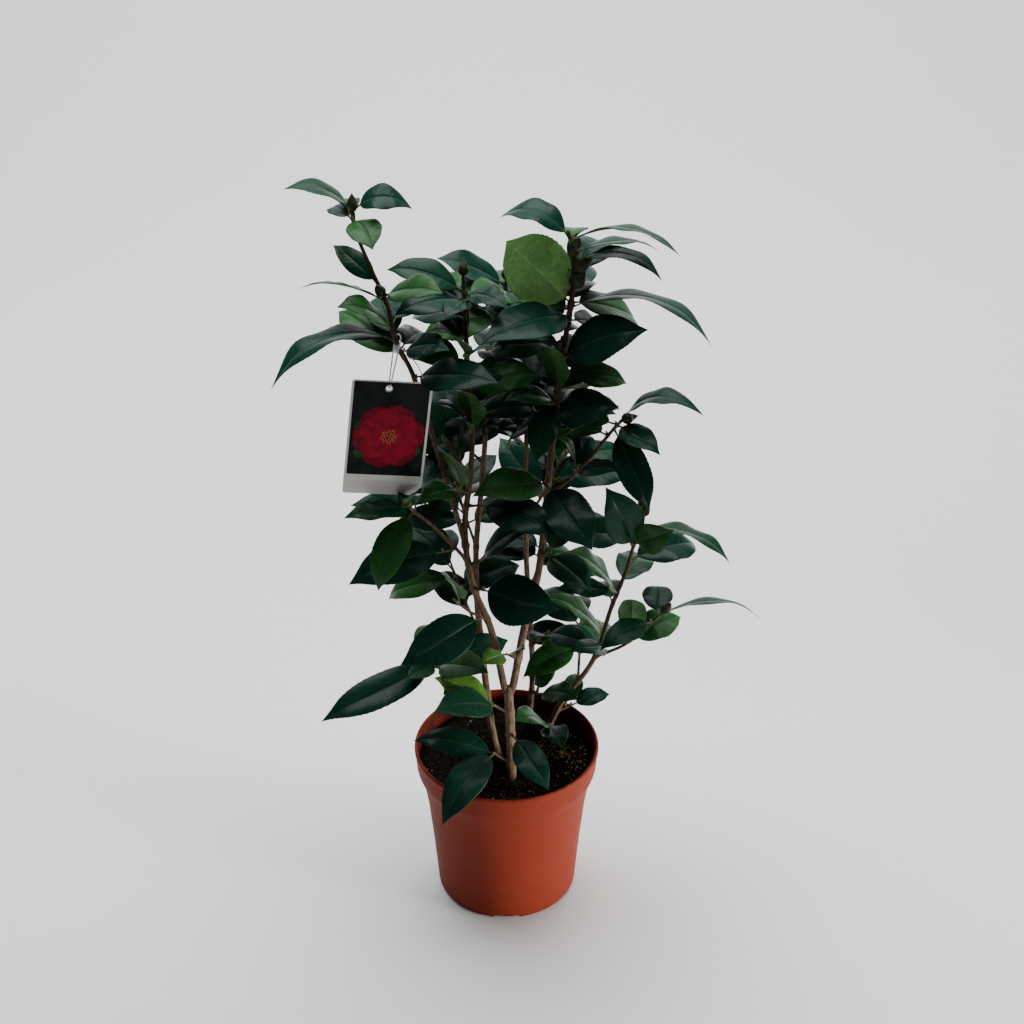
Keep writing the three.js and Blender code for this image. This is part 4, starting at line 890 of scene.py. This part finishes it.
def rule_leaves(low, high, count, facing, seed):
    """Leaves that the rule adds to a shoot, spread over a fan that opens towards one side."""
    stream = seeded_random(seed)
    start = next(stream) * RULE_FAN
    made = []
    for k in range(count):
        height = low + (high - low) * (k + 0.5 + 0.4 * (next(stream) - 0.5)) / max(count, 1)
        rise = between(*RULE_RISE, next(stream))
        length = between(*RULE_LENGTH, next(stream))
        wide = LEAF_WIDE * (0.85 + 0.35 * next(stream))
        arch = LEAF_ARCH * (0.4 + 1.6 * next(stream))
        bearing = facing - RULE_FAN / 2 + (start + LEAF_TURN * k) % RULE_FAN
        made.append(Leaf(height, bearing, rise, length, wide, arch))
    return made


def nudged(spec):
    """A leaf as the rule has it, and then turned and lifted out of the way by more and more."""
    for turn, lift in NUDGES:
        yield spec._replace(bearing=spec.bearing + turn, rise=spec.rise + lift)


def rule_places(stem, spec):
    """(root, leaf) of every place at which the rule tries a leaf or a bud, in its order."""
    share = spec.height if stem.is_twig else share_at_height(stem.points, spec.height)
    share = max(share, stem.split_share + (0 if stem.is_twig else 0.02))
    can_move = share < SEEK_SHARE and not stem.split_share
    for later in np.arange(0, SEEK_SHARE, SEEK_STEP) if can_move else (0,):
        root = path_point(stem.points, share + later)
        for wanted in nudged(spec):
            yield root, wanted


def as_grown(corners, stem, specs):
    """(root, leaf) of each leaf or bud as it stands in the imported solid, if it is there."""
    grown = []
    for spec in specs:
        for root, wanted in rule_places(stem, spec):
            tip = root + direction(wanted.bearing, wanted.rise) * wanted.length
            if np.min(np.sum((corners - tip) ** 2, axis=1)) < TIP_TOLERANCE**2:
                grown.append((root, wanted))
                break
    return grown


def grow_all(stems):
    """Gives each stem its lists of grown leaves and buds."""
    leafy = [stem for stem in stems.values() if not stem.bare]
    for index, stem in enumerate(leafy):
        corners = node_corners(stem.mass)
        added = rule_leaves(*stem.fill, FIRST_SEED + SEED_STEP * index)
        stem.grown = as_grown(corners, stem, stem.leaves + added)
        stem.budded = as_grown(corners, stem, stem.buds)


def leaf_line(root, spec):
    """Points along the middle of a leaf."""
    along, up, _ = leaf_frame(spec)
    return [root + along * (spec.length * share) + up * arch_lift(spec, share) for share in LINE_SHARES]


def grow_back(stems):
    """Adds leaves at the back of the crown, clear of those that have grown."""
    taken = [point for stem in stems.values() for found in stem.grown for point in leaf_line(*found)]
    for stem in stems.values():
        low = max(stem.split, stem.points[0][2], BACK_LEAST_HEIGHT)
        high = stem.points[-1][2]
        if stem.bare or high - low < BACK_STEP:
            continue
        count = round((high - low) / BACK_STEP)
        for spec in rule_leaves(low, high, count, BACK_FACING, BACK_SEED + stem.order):
            root = path_point(stem.points, share_at_height(stem.points, spec.height))
            for wanted in nudged(spec):
                line = leaf_line(root, wanted)
                gaps = np.linalg.norm(np.array(line)[:, None] - np.array(taken)[None], axis=2)
                inside = all(BACK_LEFT < x < BACK_RIGHT and y < BACK_REACH for x, y, _ in line)
                if inside and gaps.min() > BACK_ROOM:
                    stem.back.append((root, wanted))
                    taken.extend(line)
                    break


def pick_tint(value):
    """The tint of a leaf's upper side from a number between 0 and 1."""
    for name, share in TINT_SHARES:
        if value < share:
            return name
        value -= share
    return TINT_SHARES[-1][0]


def dress_plant(stems):
    """Replaces every limb and every mass with bark, leaves and buds."""
    chance = seeded_random(FIRST_SEED)
    back_chance = seeded_random(BACK_SEED)
    for stem in stems.values():
        knots = [root for root, _ in stem.grown]
        knots += [other.points[0] for other in stems.values() if other.on == stem.name]
        bark, wood, leaves, buds = Shape(), Shape(), Shape(), Shape()
        if stem.split_share > 0:
            add_stem(bark, stem, 0, stem.split_share, LIMB_SIDES, knots)
        if not stem.bare:
            sides = TWIG_SIDES if stem.is_twig else LIMB_SIDES
            add_stem(wood, stem, stem.split_share, 1, sides, knots, tip=True)
        for root, spec in stem.grown:
            tint = spec.tint or pick_tint(next(chance))
            add_leaf(leaves, root, spec._replace(tint=tint), chance)
        for root, spec in stem.back:
            add_leaf(leaves, root, spec._replace(tint=pick_tint(next(back_chance))), back_chance)
        for root, spec in stem.budded:
            length = spec.length * FLOWER_BUD_SCALE
            add_bud(buds, root, spec.bearing, spec.rise, length, 0, FLOWER_BUD_SHARE)
        for root, spec in stem.grown:
            length = AXIL_BUD_LENGTH * (0.7 + 0.7 * next(chance))
            foot = root + direction(spec.bearing, AXIL_RISE) * AXIL_BUD_OUT
            add_bud(buds, foot, spec.bearing, AXIL_BUD_RISE, length, 1, AXIL_BUD_SHARE)
        for shape, ending, materials, slot, node in (
            (bark, "_bark", BARK_MATERIALS, "bark", stem.name),
            (wood, "_twig", BARK_MATERIALS, "bark", stem.mass),
            (leaves, "_leaves", LEAF_MATERIALS, "foliage", stem.mass),
            (buds, "_buds", BUD_MATERIALS, "foliage", None),
        ):
            if not shape.faces:
                continue
            piece = shape.to_object(stem.name + ending, materials)
            if node:
                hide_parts(node)
            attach(piece, "root")


# Pot and soil
def rounded(points, steps=5):
    """A profile of (radius, height, rounding) with each corner cut back into a short curve."""
    result = [points[0][:2]]
    for before, corner, after in zip(points, points[1:], points[2:]):
        middle = np.array(corner[:2], float)
        into = before[:2] - middle
        out = after[:2] - middle
        near = min(corner[2], 0.49 * np.linalg.norm(into), 0.49 * np.linalg.norm(out))
        enter = middle + unit(into) * near
        leave = middle + unit(out) * near
        for t in np.arange(steps + 1) / steps:
            result.append(tuple((1 - t) ** 2 * enter + 2 * t * (1 - t) * middle + t**2 * leave))
    return [*result, points[-1][:2]]


def build_pot():
    """A turned pot with a rolled rim, two faint ledges and notches in its foot; its inner wall is darkened
    as painted shade.
    """
    angles = np.arange(POT_SIDES) * TAU / POT_SIDES
    turn = angles % (TAU / NOTCH_COUNT) - TAU / NOTCH_COUNT / 2
    in_notch = np.abs(turn) * BASE_RADIUS < NOTCH_WIDTH / 2
    profile = rounded(POT_OUTLINE)
    top = max(range(len(profile)), key=lambda i: profile[i][1])
    rings = []
    slots = []
    for row, (radius, height) in enumerate(profile):
        notched = height < NOTCH_HEIGHT and radius > BASE_RADIUS - NOTCH_DEPTH - 0.5
        heights = np.where(in_notch & notched, max(height, NOTCH_HEIGHT), float(height))
        oval = 1 + POT_OVAL * np.sin(2 * angles + 0.6) * min(1, height / 60)
        reach = radius * oval
        rings.append(np.stack((reach * np.cos(angles), reach * np.sin(angles), heights), axis=1))
        # Faces of the inner wall below the rim's top take the second, darker material: painted shade inside
        # the pot
        slots += [1 if row > top and height < POT_HEIGHT - RIM_INSIDE_DROP else 0] * POT_SIDES
    shape = Shape()
    shape.add(np.concatenate(rings), grid_faces(len(rings), POT_SIDES, closed=True), slots[:-POT_SIDES])
    outside = spotted(
        "terracotta_plastic", (0.168, 0.0228, 0.0104), (0.182, 0.0252, 0.0116), 26, 0.55, 0.07,
        bump=0.16, bump_size=1.2, uneven=True,
    )
    # The inside material is the terracotta darkened as painted shade of the pot's inner wall
    inside = spotted(
        "terracotta_inside", (0.06, 0.01, 0.005), (0.16, 0.019, 0.007), 12, 0.6, 0.2, (0.12, 0.015, 0.006),
        bump=0.3, bump_size=1.5,
    )
    piece = shape.to_object("pot_shell", [outside, inside])
    piece.modifiers.new("edges", "EDGE_SPLIT").split_angle = radians(SHARP_EDGE)
    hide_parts("pot")
    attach(piece, "root")


def soil_height(x, y):
    """The height of the soil's lumpy surface, a little lower towards the pot's wall."""
    lumps = 0
    for size, level, strength in SOIL_WAVES:
        lumps += strength * noise.noise(Vector((x / size, y / size, level)))
    edge = (hypot(x, y) / SOIL_RADIUS) ** 6
    return SOIL_TOP - SOIL_SINK + SOIL_LUMP * lumps - SOIL_EDGE_DROP * edge


def add_crumb(shape, centre, size, stream, slot):
    """Adds one irregular crumb of six corners."""
    ways = ((1, 0, 0), (-1, 0, 0), (0, 1, 0), (0, -1, 0), (0, 0, 1), (0, 0, -1))
    turn = Matrix.Rotation(TAU * next(stream), 3, "Z") @ Matrix.Rotation(TAU * next(stream), 3, "X")
    corners = [np.array(turn @ Vector(way)) * size * (0.6 + 0.6 * next(stream)) + centre for way in ways]
    faces = ((0, 2, 4), (2, 1, 4), (1, 3, 4), (3, 0, 4), (2, 0, 5), (1, 2, 5), (3, 1, 5), (0, 3, 5))
    shape.add(corners, faces, slot)


def build_soil():
    """Lumpy potting soil with crumbs, a drift of golden granules and a few pale flecks."""
    rings = []
    for step in range(SOIL_RINGS + 1):
        radius = SOIL_RADIUS * max(step / SOIL_RINGS, 0.002)
        points = circle(radius, SOIL_SIDES)
        rings.append([(x, y, soil_height(x, y)) for x, y in points])
    for share in (0.985, 0.002):
        rings.append([(share * x, share * y, SOIL_TOP - SOIL_DEPTH) for x, y in points])
    shape = Shape()
    faces = grid_faces(len(rings), SOIL_SIDES, closed=True, flip=True)
    shape.add([point for points in rings for point in points], faces, 0)
    soil = spotted(
        "potting_soil", (0.0025, 0.002, 0.0016), (0.014, 0.01, 0.007), 1.8, 0.95, 0.1,
        (0.006, 0.0045, 0.0035), bump=0.9, bump_size=0.7,
    )
    looks = (
        ("soil_crumb", (0.004, 0.003, 0.002), (0.032, 0.021, 0.014), 3, 0.95, 0.1, (0.014, 0.0095, 0.007)),
        ("golden_granule", (0.28, 0.18, 0.05), (0.56, 0.38, 0.13), 3, 0.5, 0.3),
        ("pale_fleck", (0.34, 0.31, 0.26), (0.5, 0.47, 0.4), 2, 0.8),
        ("brown_crumb", (0.045, 0.024, 0.013), (0.14, 0.075, 0.04), 3, 0.9, 0.1, (0.085, 0.045, 0.024)),
    )
    piece = shape.to_object("soil_surface", [soil])
    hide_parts("soil")
    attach(piece, "root")
    crumbs = Shape()
    stream = seeded_random(FIRST_SEED)
    for slot, (count, sizes, middle, spread, evenness) in enumerate(CRUMB_KINDS):
        for _ in range(count):
            radius = spread * next(stream) ** evenness
            angle = TAU * next(stream)
            x = middle[0] + radius * cos(angle)
            y = middle[1] + radius * sin(angle)
            size = between(*sizes, next(stream) ** 2)
            if hypot(x, y) < SOIL_RADIUS - CRUMB_ROOM:
                centre = np.array((x, y, soil_height(x, y) + 0.25 * size))
                add_crumb(crumbs, centre, size, stream, slot)
    piece = crumbs.to_object("soil_crumbs", [spotted(*look) for look in looks], smooth=False)
    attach(piece, "root")


# Label
LABEL_MATRIX = (
    Matrix.Translation(Vector(LABEL_HOLE))
    @ Matrix.Rotation(radians(LABEL_YAW), 4, "Z")
    @ Matrix.Rotation(radians(LABEL_TILT), 4, "Y")
    @ Matrix.Rotation(radians(90), 4, "X")
)
LABEL_LEFT = -LABEL_HOLE_INSET
LABEL_RIGHT = LABEL_LEFT + LABEL_WIDTH
LABEL_LOW = LABEL_HOLE_DROP - LABEL_HEIGHT
LABEL_LOOKS = (
    ("label_card", (0.65, 0.64, 0.6), (0.71, 0.7, 0.66), 30, 0.4, 0.25),
    ("picture_dark", (0.002, 0.003, 0.004), (0.009, 0.015, 0.012), 14, 0.5, 0.1, (0.004, 0.006, 0.006)),
    ("picture_red", (0.18, 0.0008, 0.012), (0.34, 0.0015, 0.024), 7, 0.5, 0.1, (0.26, 0.001, 0.018)),
    ("picture_crimson", (0.095, 0.0005, 0.007), (0.205, 0.001, 0.015), 7, 0.5, 0.1, (0.15, 0.0008, 0.011)),
    ("picture_yellow", (0.3, 0.16, 0.025), (0.4, 0.22, 0.035), 3, 0.4, 0.25),
    ("picture_green", (0.012, 0.03, 0.014), (0.028, 0.07, 0.03), 9, 0.5, 0.1),
    ("label_strip", (0.64, 0.62, 0.56), (0.68, 0.66, 0.6), 24, 0.45),
    ("eyelet", (0.56, 0.56, 0.55), (0.64, 0.64, 0.63), 2, 0.3),
)


def on_label(points, depth):
    """Points of the label's face, in its own right and up, at a depth in front of its middle."""
    return [tuple(LABEL_MATRIX @ Vector((x, y, depth))) for x, y in points]


def add_plate(shape, outline, back, front, slot):
    """Adds a flat closed plate on the label from its outline."""
    count = len(outline)
    faces = [tuple(range(count - 1, -1, -1)), tuple(range(count, 2 * count))]
    faces += grid_faces(2, count, closed=True)
    shape.add(on_label(outline, back) + on_label(outline, front), faces, slot)


def round_box(left, low, right, high, radius, steps=6):
    """The outline of a box with round corners."""
    outline = []
    corners = (
        (right - radius, high - radius, 0), (left + radius, high - radius, 90),
        (left + radius, low + radius, 180), (right - radius, low + radius, 270),
    )
    for x, y, start in corners:
        for step in range(steps + 1):
            angle = radians(start + 90 * step / steps)
            outline.append((x + radius * cos(angle), y + radius * sin(angle)))
    return outline


def dense(outline, most=2.0):
    """An outline with its long sides cut into short ones."""
    points = []
    for (x, y), (next_x, next_y) in zip(outline, outline[1:] + outline[:1]):
        count = max(1, ceil(hypot(next_x - x, next_y - y) / most))
        points += [(x + (next_x - x) * i / count, y + (next_y - y) * i / count) for i in range(count)]
    return points


def add_holed_plate(shape, outline, hole_radius, back, front, slot):
    """Adds a flat plate with a round hole at the label's own zero point."""
    outer = dense(outline)
    ways = [atan2(y, x) for x, y in outer]
    hole = [(hole_radius * cos(way), hole_radius * sin(way)) for way in ways]
    corners = on_label(outer, back) + on_label(outer, front) + on_label(hole, front) + on_label(hole, back)
    shape.add(corners, grid_faces(4, len(outer), closed=True, looped=True), slot)


def petal(centre, angle, length, width, steps=18):
    """The outline of a broad petal with a shallow notch in its end, clockwise."""
    outline = []
    for step in range(2 * steps):
        t = step / steps
        share = t if t <= 1 else 2 - t
        side = -1 if t <= 1 else 1
        along = length * sin(share * pi / 2) ** 0.9 * (0.96 if share > 0.97 else 1)
        out = side * width / 2 * sin(pi * share**0.62) ** 0.7
        outline.append((
            centre[0] + along * cos(angle) - out * sin(angle),
            centre[1] + along * sin(angle) + out * cos(angle),
        ))
    return outline[::-1]


def build_label():
    """A glossy card with a made-up single red flower over a plain strip, and its eyelet."""
    materials = [spotted(*look) for look in LABEL_LOOKS]
    slots = {look[0]: slot for slot, look in enumerate(LABEL_LOOKS)}
    shape = Shape()
    face = LABEL_THICKNESS / 2
    print_back = face - PRINT_SUNK
    print_face = face + PRINT_LAYER
    card = round_box(LABEL_LEFT, LABEL_LOW, LABEL_RIGHT, LABEL_HOLE_DROP, LABEL_CORNER, 8)
    add_holed_plate(shape, card, LABEL_HOLE_RADIUS, -face, face, slots["label_card"])
    left = LABEL_LEFT + PICTURE_BORDER
    right = LABEL_RIGHT - PICTURE_BORDER
    high = LABEL_HOLE_DROP - PICTURE_BORDER / 2
    low = LABEL_LOW + STRIP_HEIGHT
    picture = round_box(left, low, right, high, PICTURE_CORNER)
    add_holed_plate(shape, picture, PICTURE_HOLE_RADIUS, print_back, print_face, slots["picture_dark"])
    strip = round_box(left, LABEL_LOW + PICTURE_BORDER, right, low - STRIP_GAP, STRIP_CORNER)
    add_plate(shape, strip, print_back, print_face, slots["label_strip"])
    middle = ((left + right) / 2 + FLOWER_RIGHT, low + FLOWER_HEIGHT)
    for angles, length, width, look, level, rise in FLOWER_ROWS:
        for index, angle in enumerate(angles):
            height = face + PRINT_LAYER * (level + rise * index)
            add_plate(shape, petal(middle, radians(angle), length, width), face, height, slots[look])
    for index in range(STAMEN_COUNT):
        angle = TAU * index * STAMEN_TURN
        far = STAMEN_SPACE * sqrt(index)
        spot = (middle[0] + far * cos(angle), middle[1] + far * sin(angle))
        outline = petal(spot, angle, *STAMEN_SIZE, 5)
        add_plate(shape, outline, face, face + PRINT_LAYER * STAMEN_LEVEL, slots["picture_yellow"])
    piece = shape.to_object("label_card", materials, smooth=False)
    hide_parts("label")
    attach(piece, "root")
    eyelet = Shape()
    rings = [on_label(circle(radius, EYELET_SIDES), depth) for radius, depth in EYELET_PROFILE]
    faces = grid_faces(len(rings), EYELET_SIDES, closed=True, looped=True)
    eyelet.add(np.concatenate(rings), faces, 0)
    piece = eyelet.to_object("label_eyelet", [materials[slots["eyelet"]]])
    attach(piece, "root")


def build_tie(stems):
    """The white tie: a loop from the eyelet round the far left stem, a clasp and a loose end."""
    points = stems["far_left_bough"].points
    share = share_at_height(points, TIE_HEIGHT)
    stem_way = path_tangent(points, share)
    hook = path_point(points, share)
    hole = np.array(LABEL_HOLE, float)
    down = unit(hole - hook)
    normal = unit(stem_way - down * (stem_way @ down))
    across = np.cross(normal, down)
    upper = hook - down * TIE_RISE
    lower = hole + down * (LABEL_HOLE_RADIUS - TIE_LOOP_RADIUS - TIE_RADIUS - GAP - TIE_LOWER_ROOM)
    loop = []
    for i in range(TIE_STEPS):
        angle = TAU * (i + 0.5) / TIE_STEPS
        centre, reach = (upper, 1) if cos(angle) > 0 else (lower, TIE_PINCH)
        out = TIE_LOOP_RADIUS * reach * sin(angle)
        loop.append(centre - down * (TIE_LOOP_RADIUS * cos(angle)) + across * out)
    rings = []
    for i, point in enumerate(loop):
        outward = unit(np.cross(unit(loop[(i + 1) % TIE_STEPS] - loop[i - 1]), normal))
        rings.append(point + wheel(TIE_SIDES, outward, normal) * TIE_RADIUS)
    shape = Shape()
    faces = grid_faces(TIE_STEPS, TIE_SIDES, closed=True, flip=True, looped=True)
    shape.add(np.concatenate(rings), faces, 0)
    clasp = upper + down * (TIE_LOOP_RADIUS + CLASP_DROP)
    add_tube(shape, [ring(clasp + down * d, down, [r] * CLASP_SIDES) for d, r in CLASP_PROFILE], 0)
    loose = [clasp + np.array(point) for point in LOOSE_END]
    rings = []
    for i in range(LOOSE_STEPS + 1):
        share = i / LOOSE_STEPS
        way = path_tangent(loose, min(max(share, 0.01), 0.99))
        rings.append(ring(path_point(loose, share), way, [LOOSE_RADIUS] * LOOSE_SIDES))
    add_tube(shape, rings, 0)
    white = spotted("white_tie", (0.75, 0.75, 0.73), (0.85, 0.85, 0.83), 3, 0.35, bump=0.2)
    piece = shape.to_object("label_tie_loop", [white])
    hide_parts("label_tie")
    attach(piece, "root")


# Stage
def aim(thing, place, way):
    """Puts a light or the camera at its place and points it along its way."""
    thing.location = place
    thing.rotation_euler = way.to_track_quat("-Z", "Y").to_euler()
    bpy.context.scene.collection.objects.link(thing)


def build_stage():
    """A pale floor that bends up into a backdrop, soft lights and the camera."""
    start = BACKDROP_DISTANCE - BACKDROP_BEND
    profile = [(-FLOOR_REACH, 0), (start, 0)]
    for step in range(1, BEND_STEPS + 1):
        turn = radians(90 * step / BEND_STEPS)
        profile.append((start + BACKDROP_BEND * sin(turn), BACKDROP_BEND - BACKDROP_BEND * cos(turn)))
    profile.append((BACKDROP_DISTANCE, BACKDROP_HEIGHT))
    shape = Shape()
    corners = [(x, y, z) for y, z in profile for x in (-FLOOR_REACH, FLOOR_REACH)]
    shape.add(corners, grid_faces(len(profile), 2), 0)
    backdrop = shape.to_object("studio_floor", [principled("studio_grey", STUDIO_GREY, 0.9)])
    backdrop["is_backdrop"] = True
    world = bpy.data.worlds.new("studio")
    world.use_nodes = True
    background = world.node_tree.nodes["Background"].inputs
    background["Color"].default_value = WORLD_COLOUR
    background["Strength"].default_value = WORLD_STRENGTH
    bpy.context.scene.world = world
    for name, place, target, size, power, colour, spread in LIGHTS:
        lamp = bpy.data.lights.new(name, "AREA")
        lamp.shape = "RECTANGLE"
        lamp.size, lamp.size_y = size
        lamp.energy = power
        lamp.spread = radians(spread)
        lamp.color = colour
        aim(bpy.data.objects.new(name, lamp), place, Vector(target) - Vector(place))
    lens = bpy.data.cameras.new("camera")
    lens.lens = CAMERA_LENS
    lens.sensor_width = SENSOR_WIDTH
    lens.clip_end = CAMERA_REACH
    camera = bpy.data.objects.new("camera", lens)
    aim(camera, Vector(CAMERA_PLACE) * MM, Vector(CAMERA_TARGET) - Vector(CAMERA_PLACE))
    bpy.context.scene.camera = camera


build_stage()
STEMS = ready_shoots()
grow_all(STEMS)
grow_back(STEMS)
dress_plant(STEMS)
build_pot()
build_soil()
build_label()
build_tie(STEMS)

boxes = [[list(map(float, corner)) for corner in box] for box in (CAD_BOUNDS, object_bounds())]
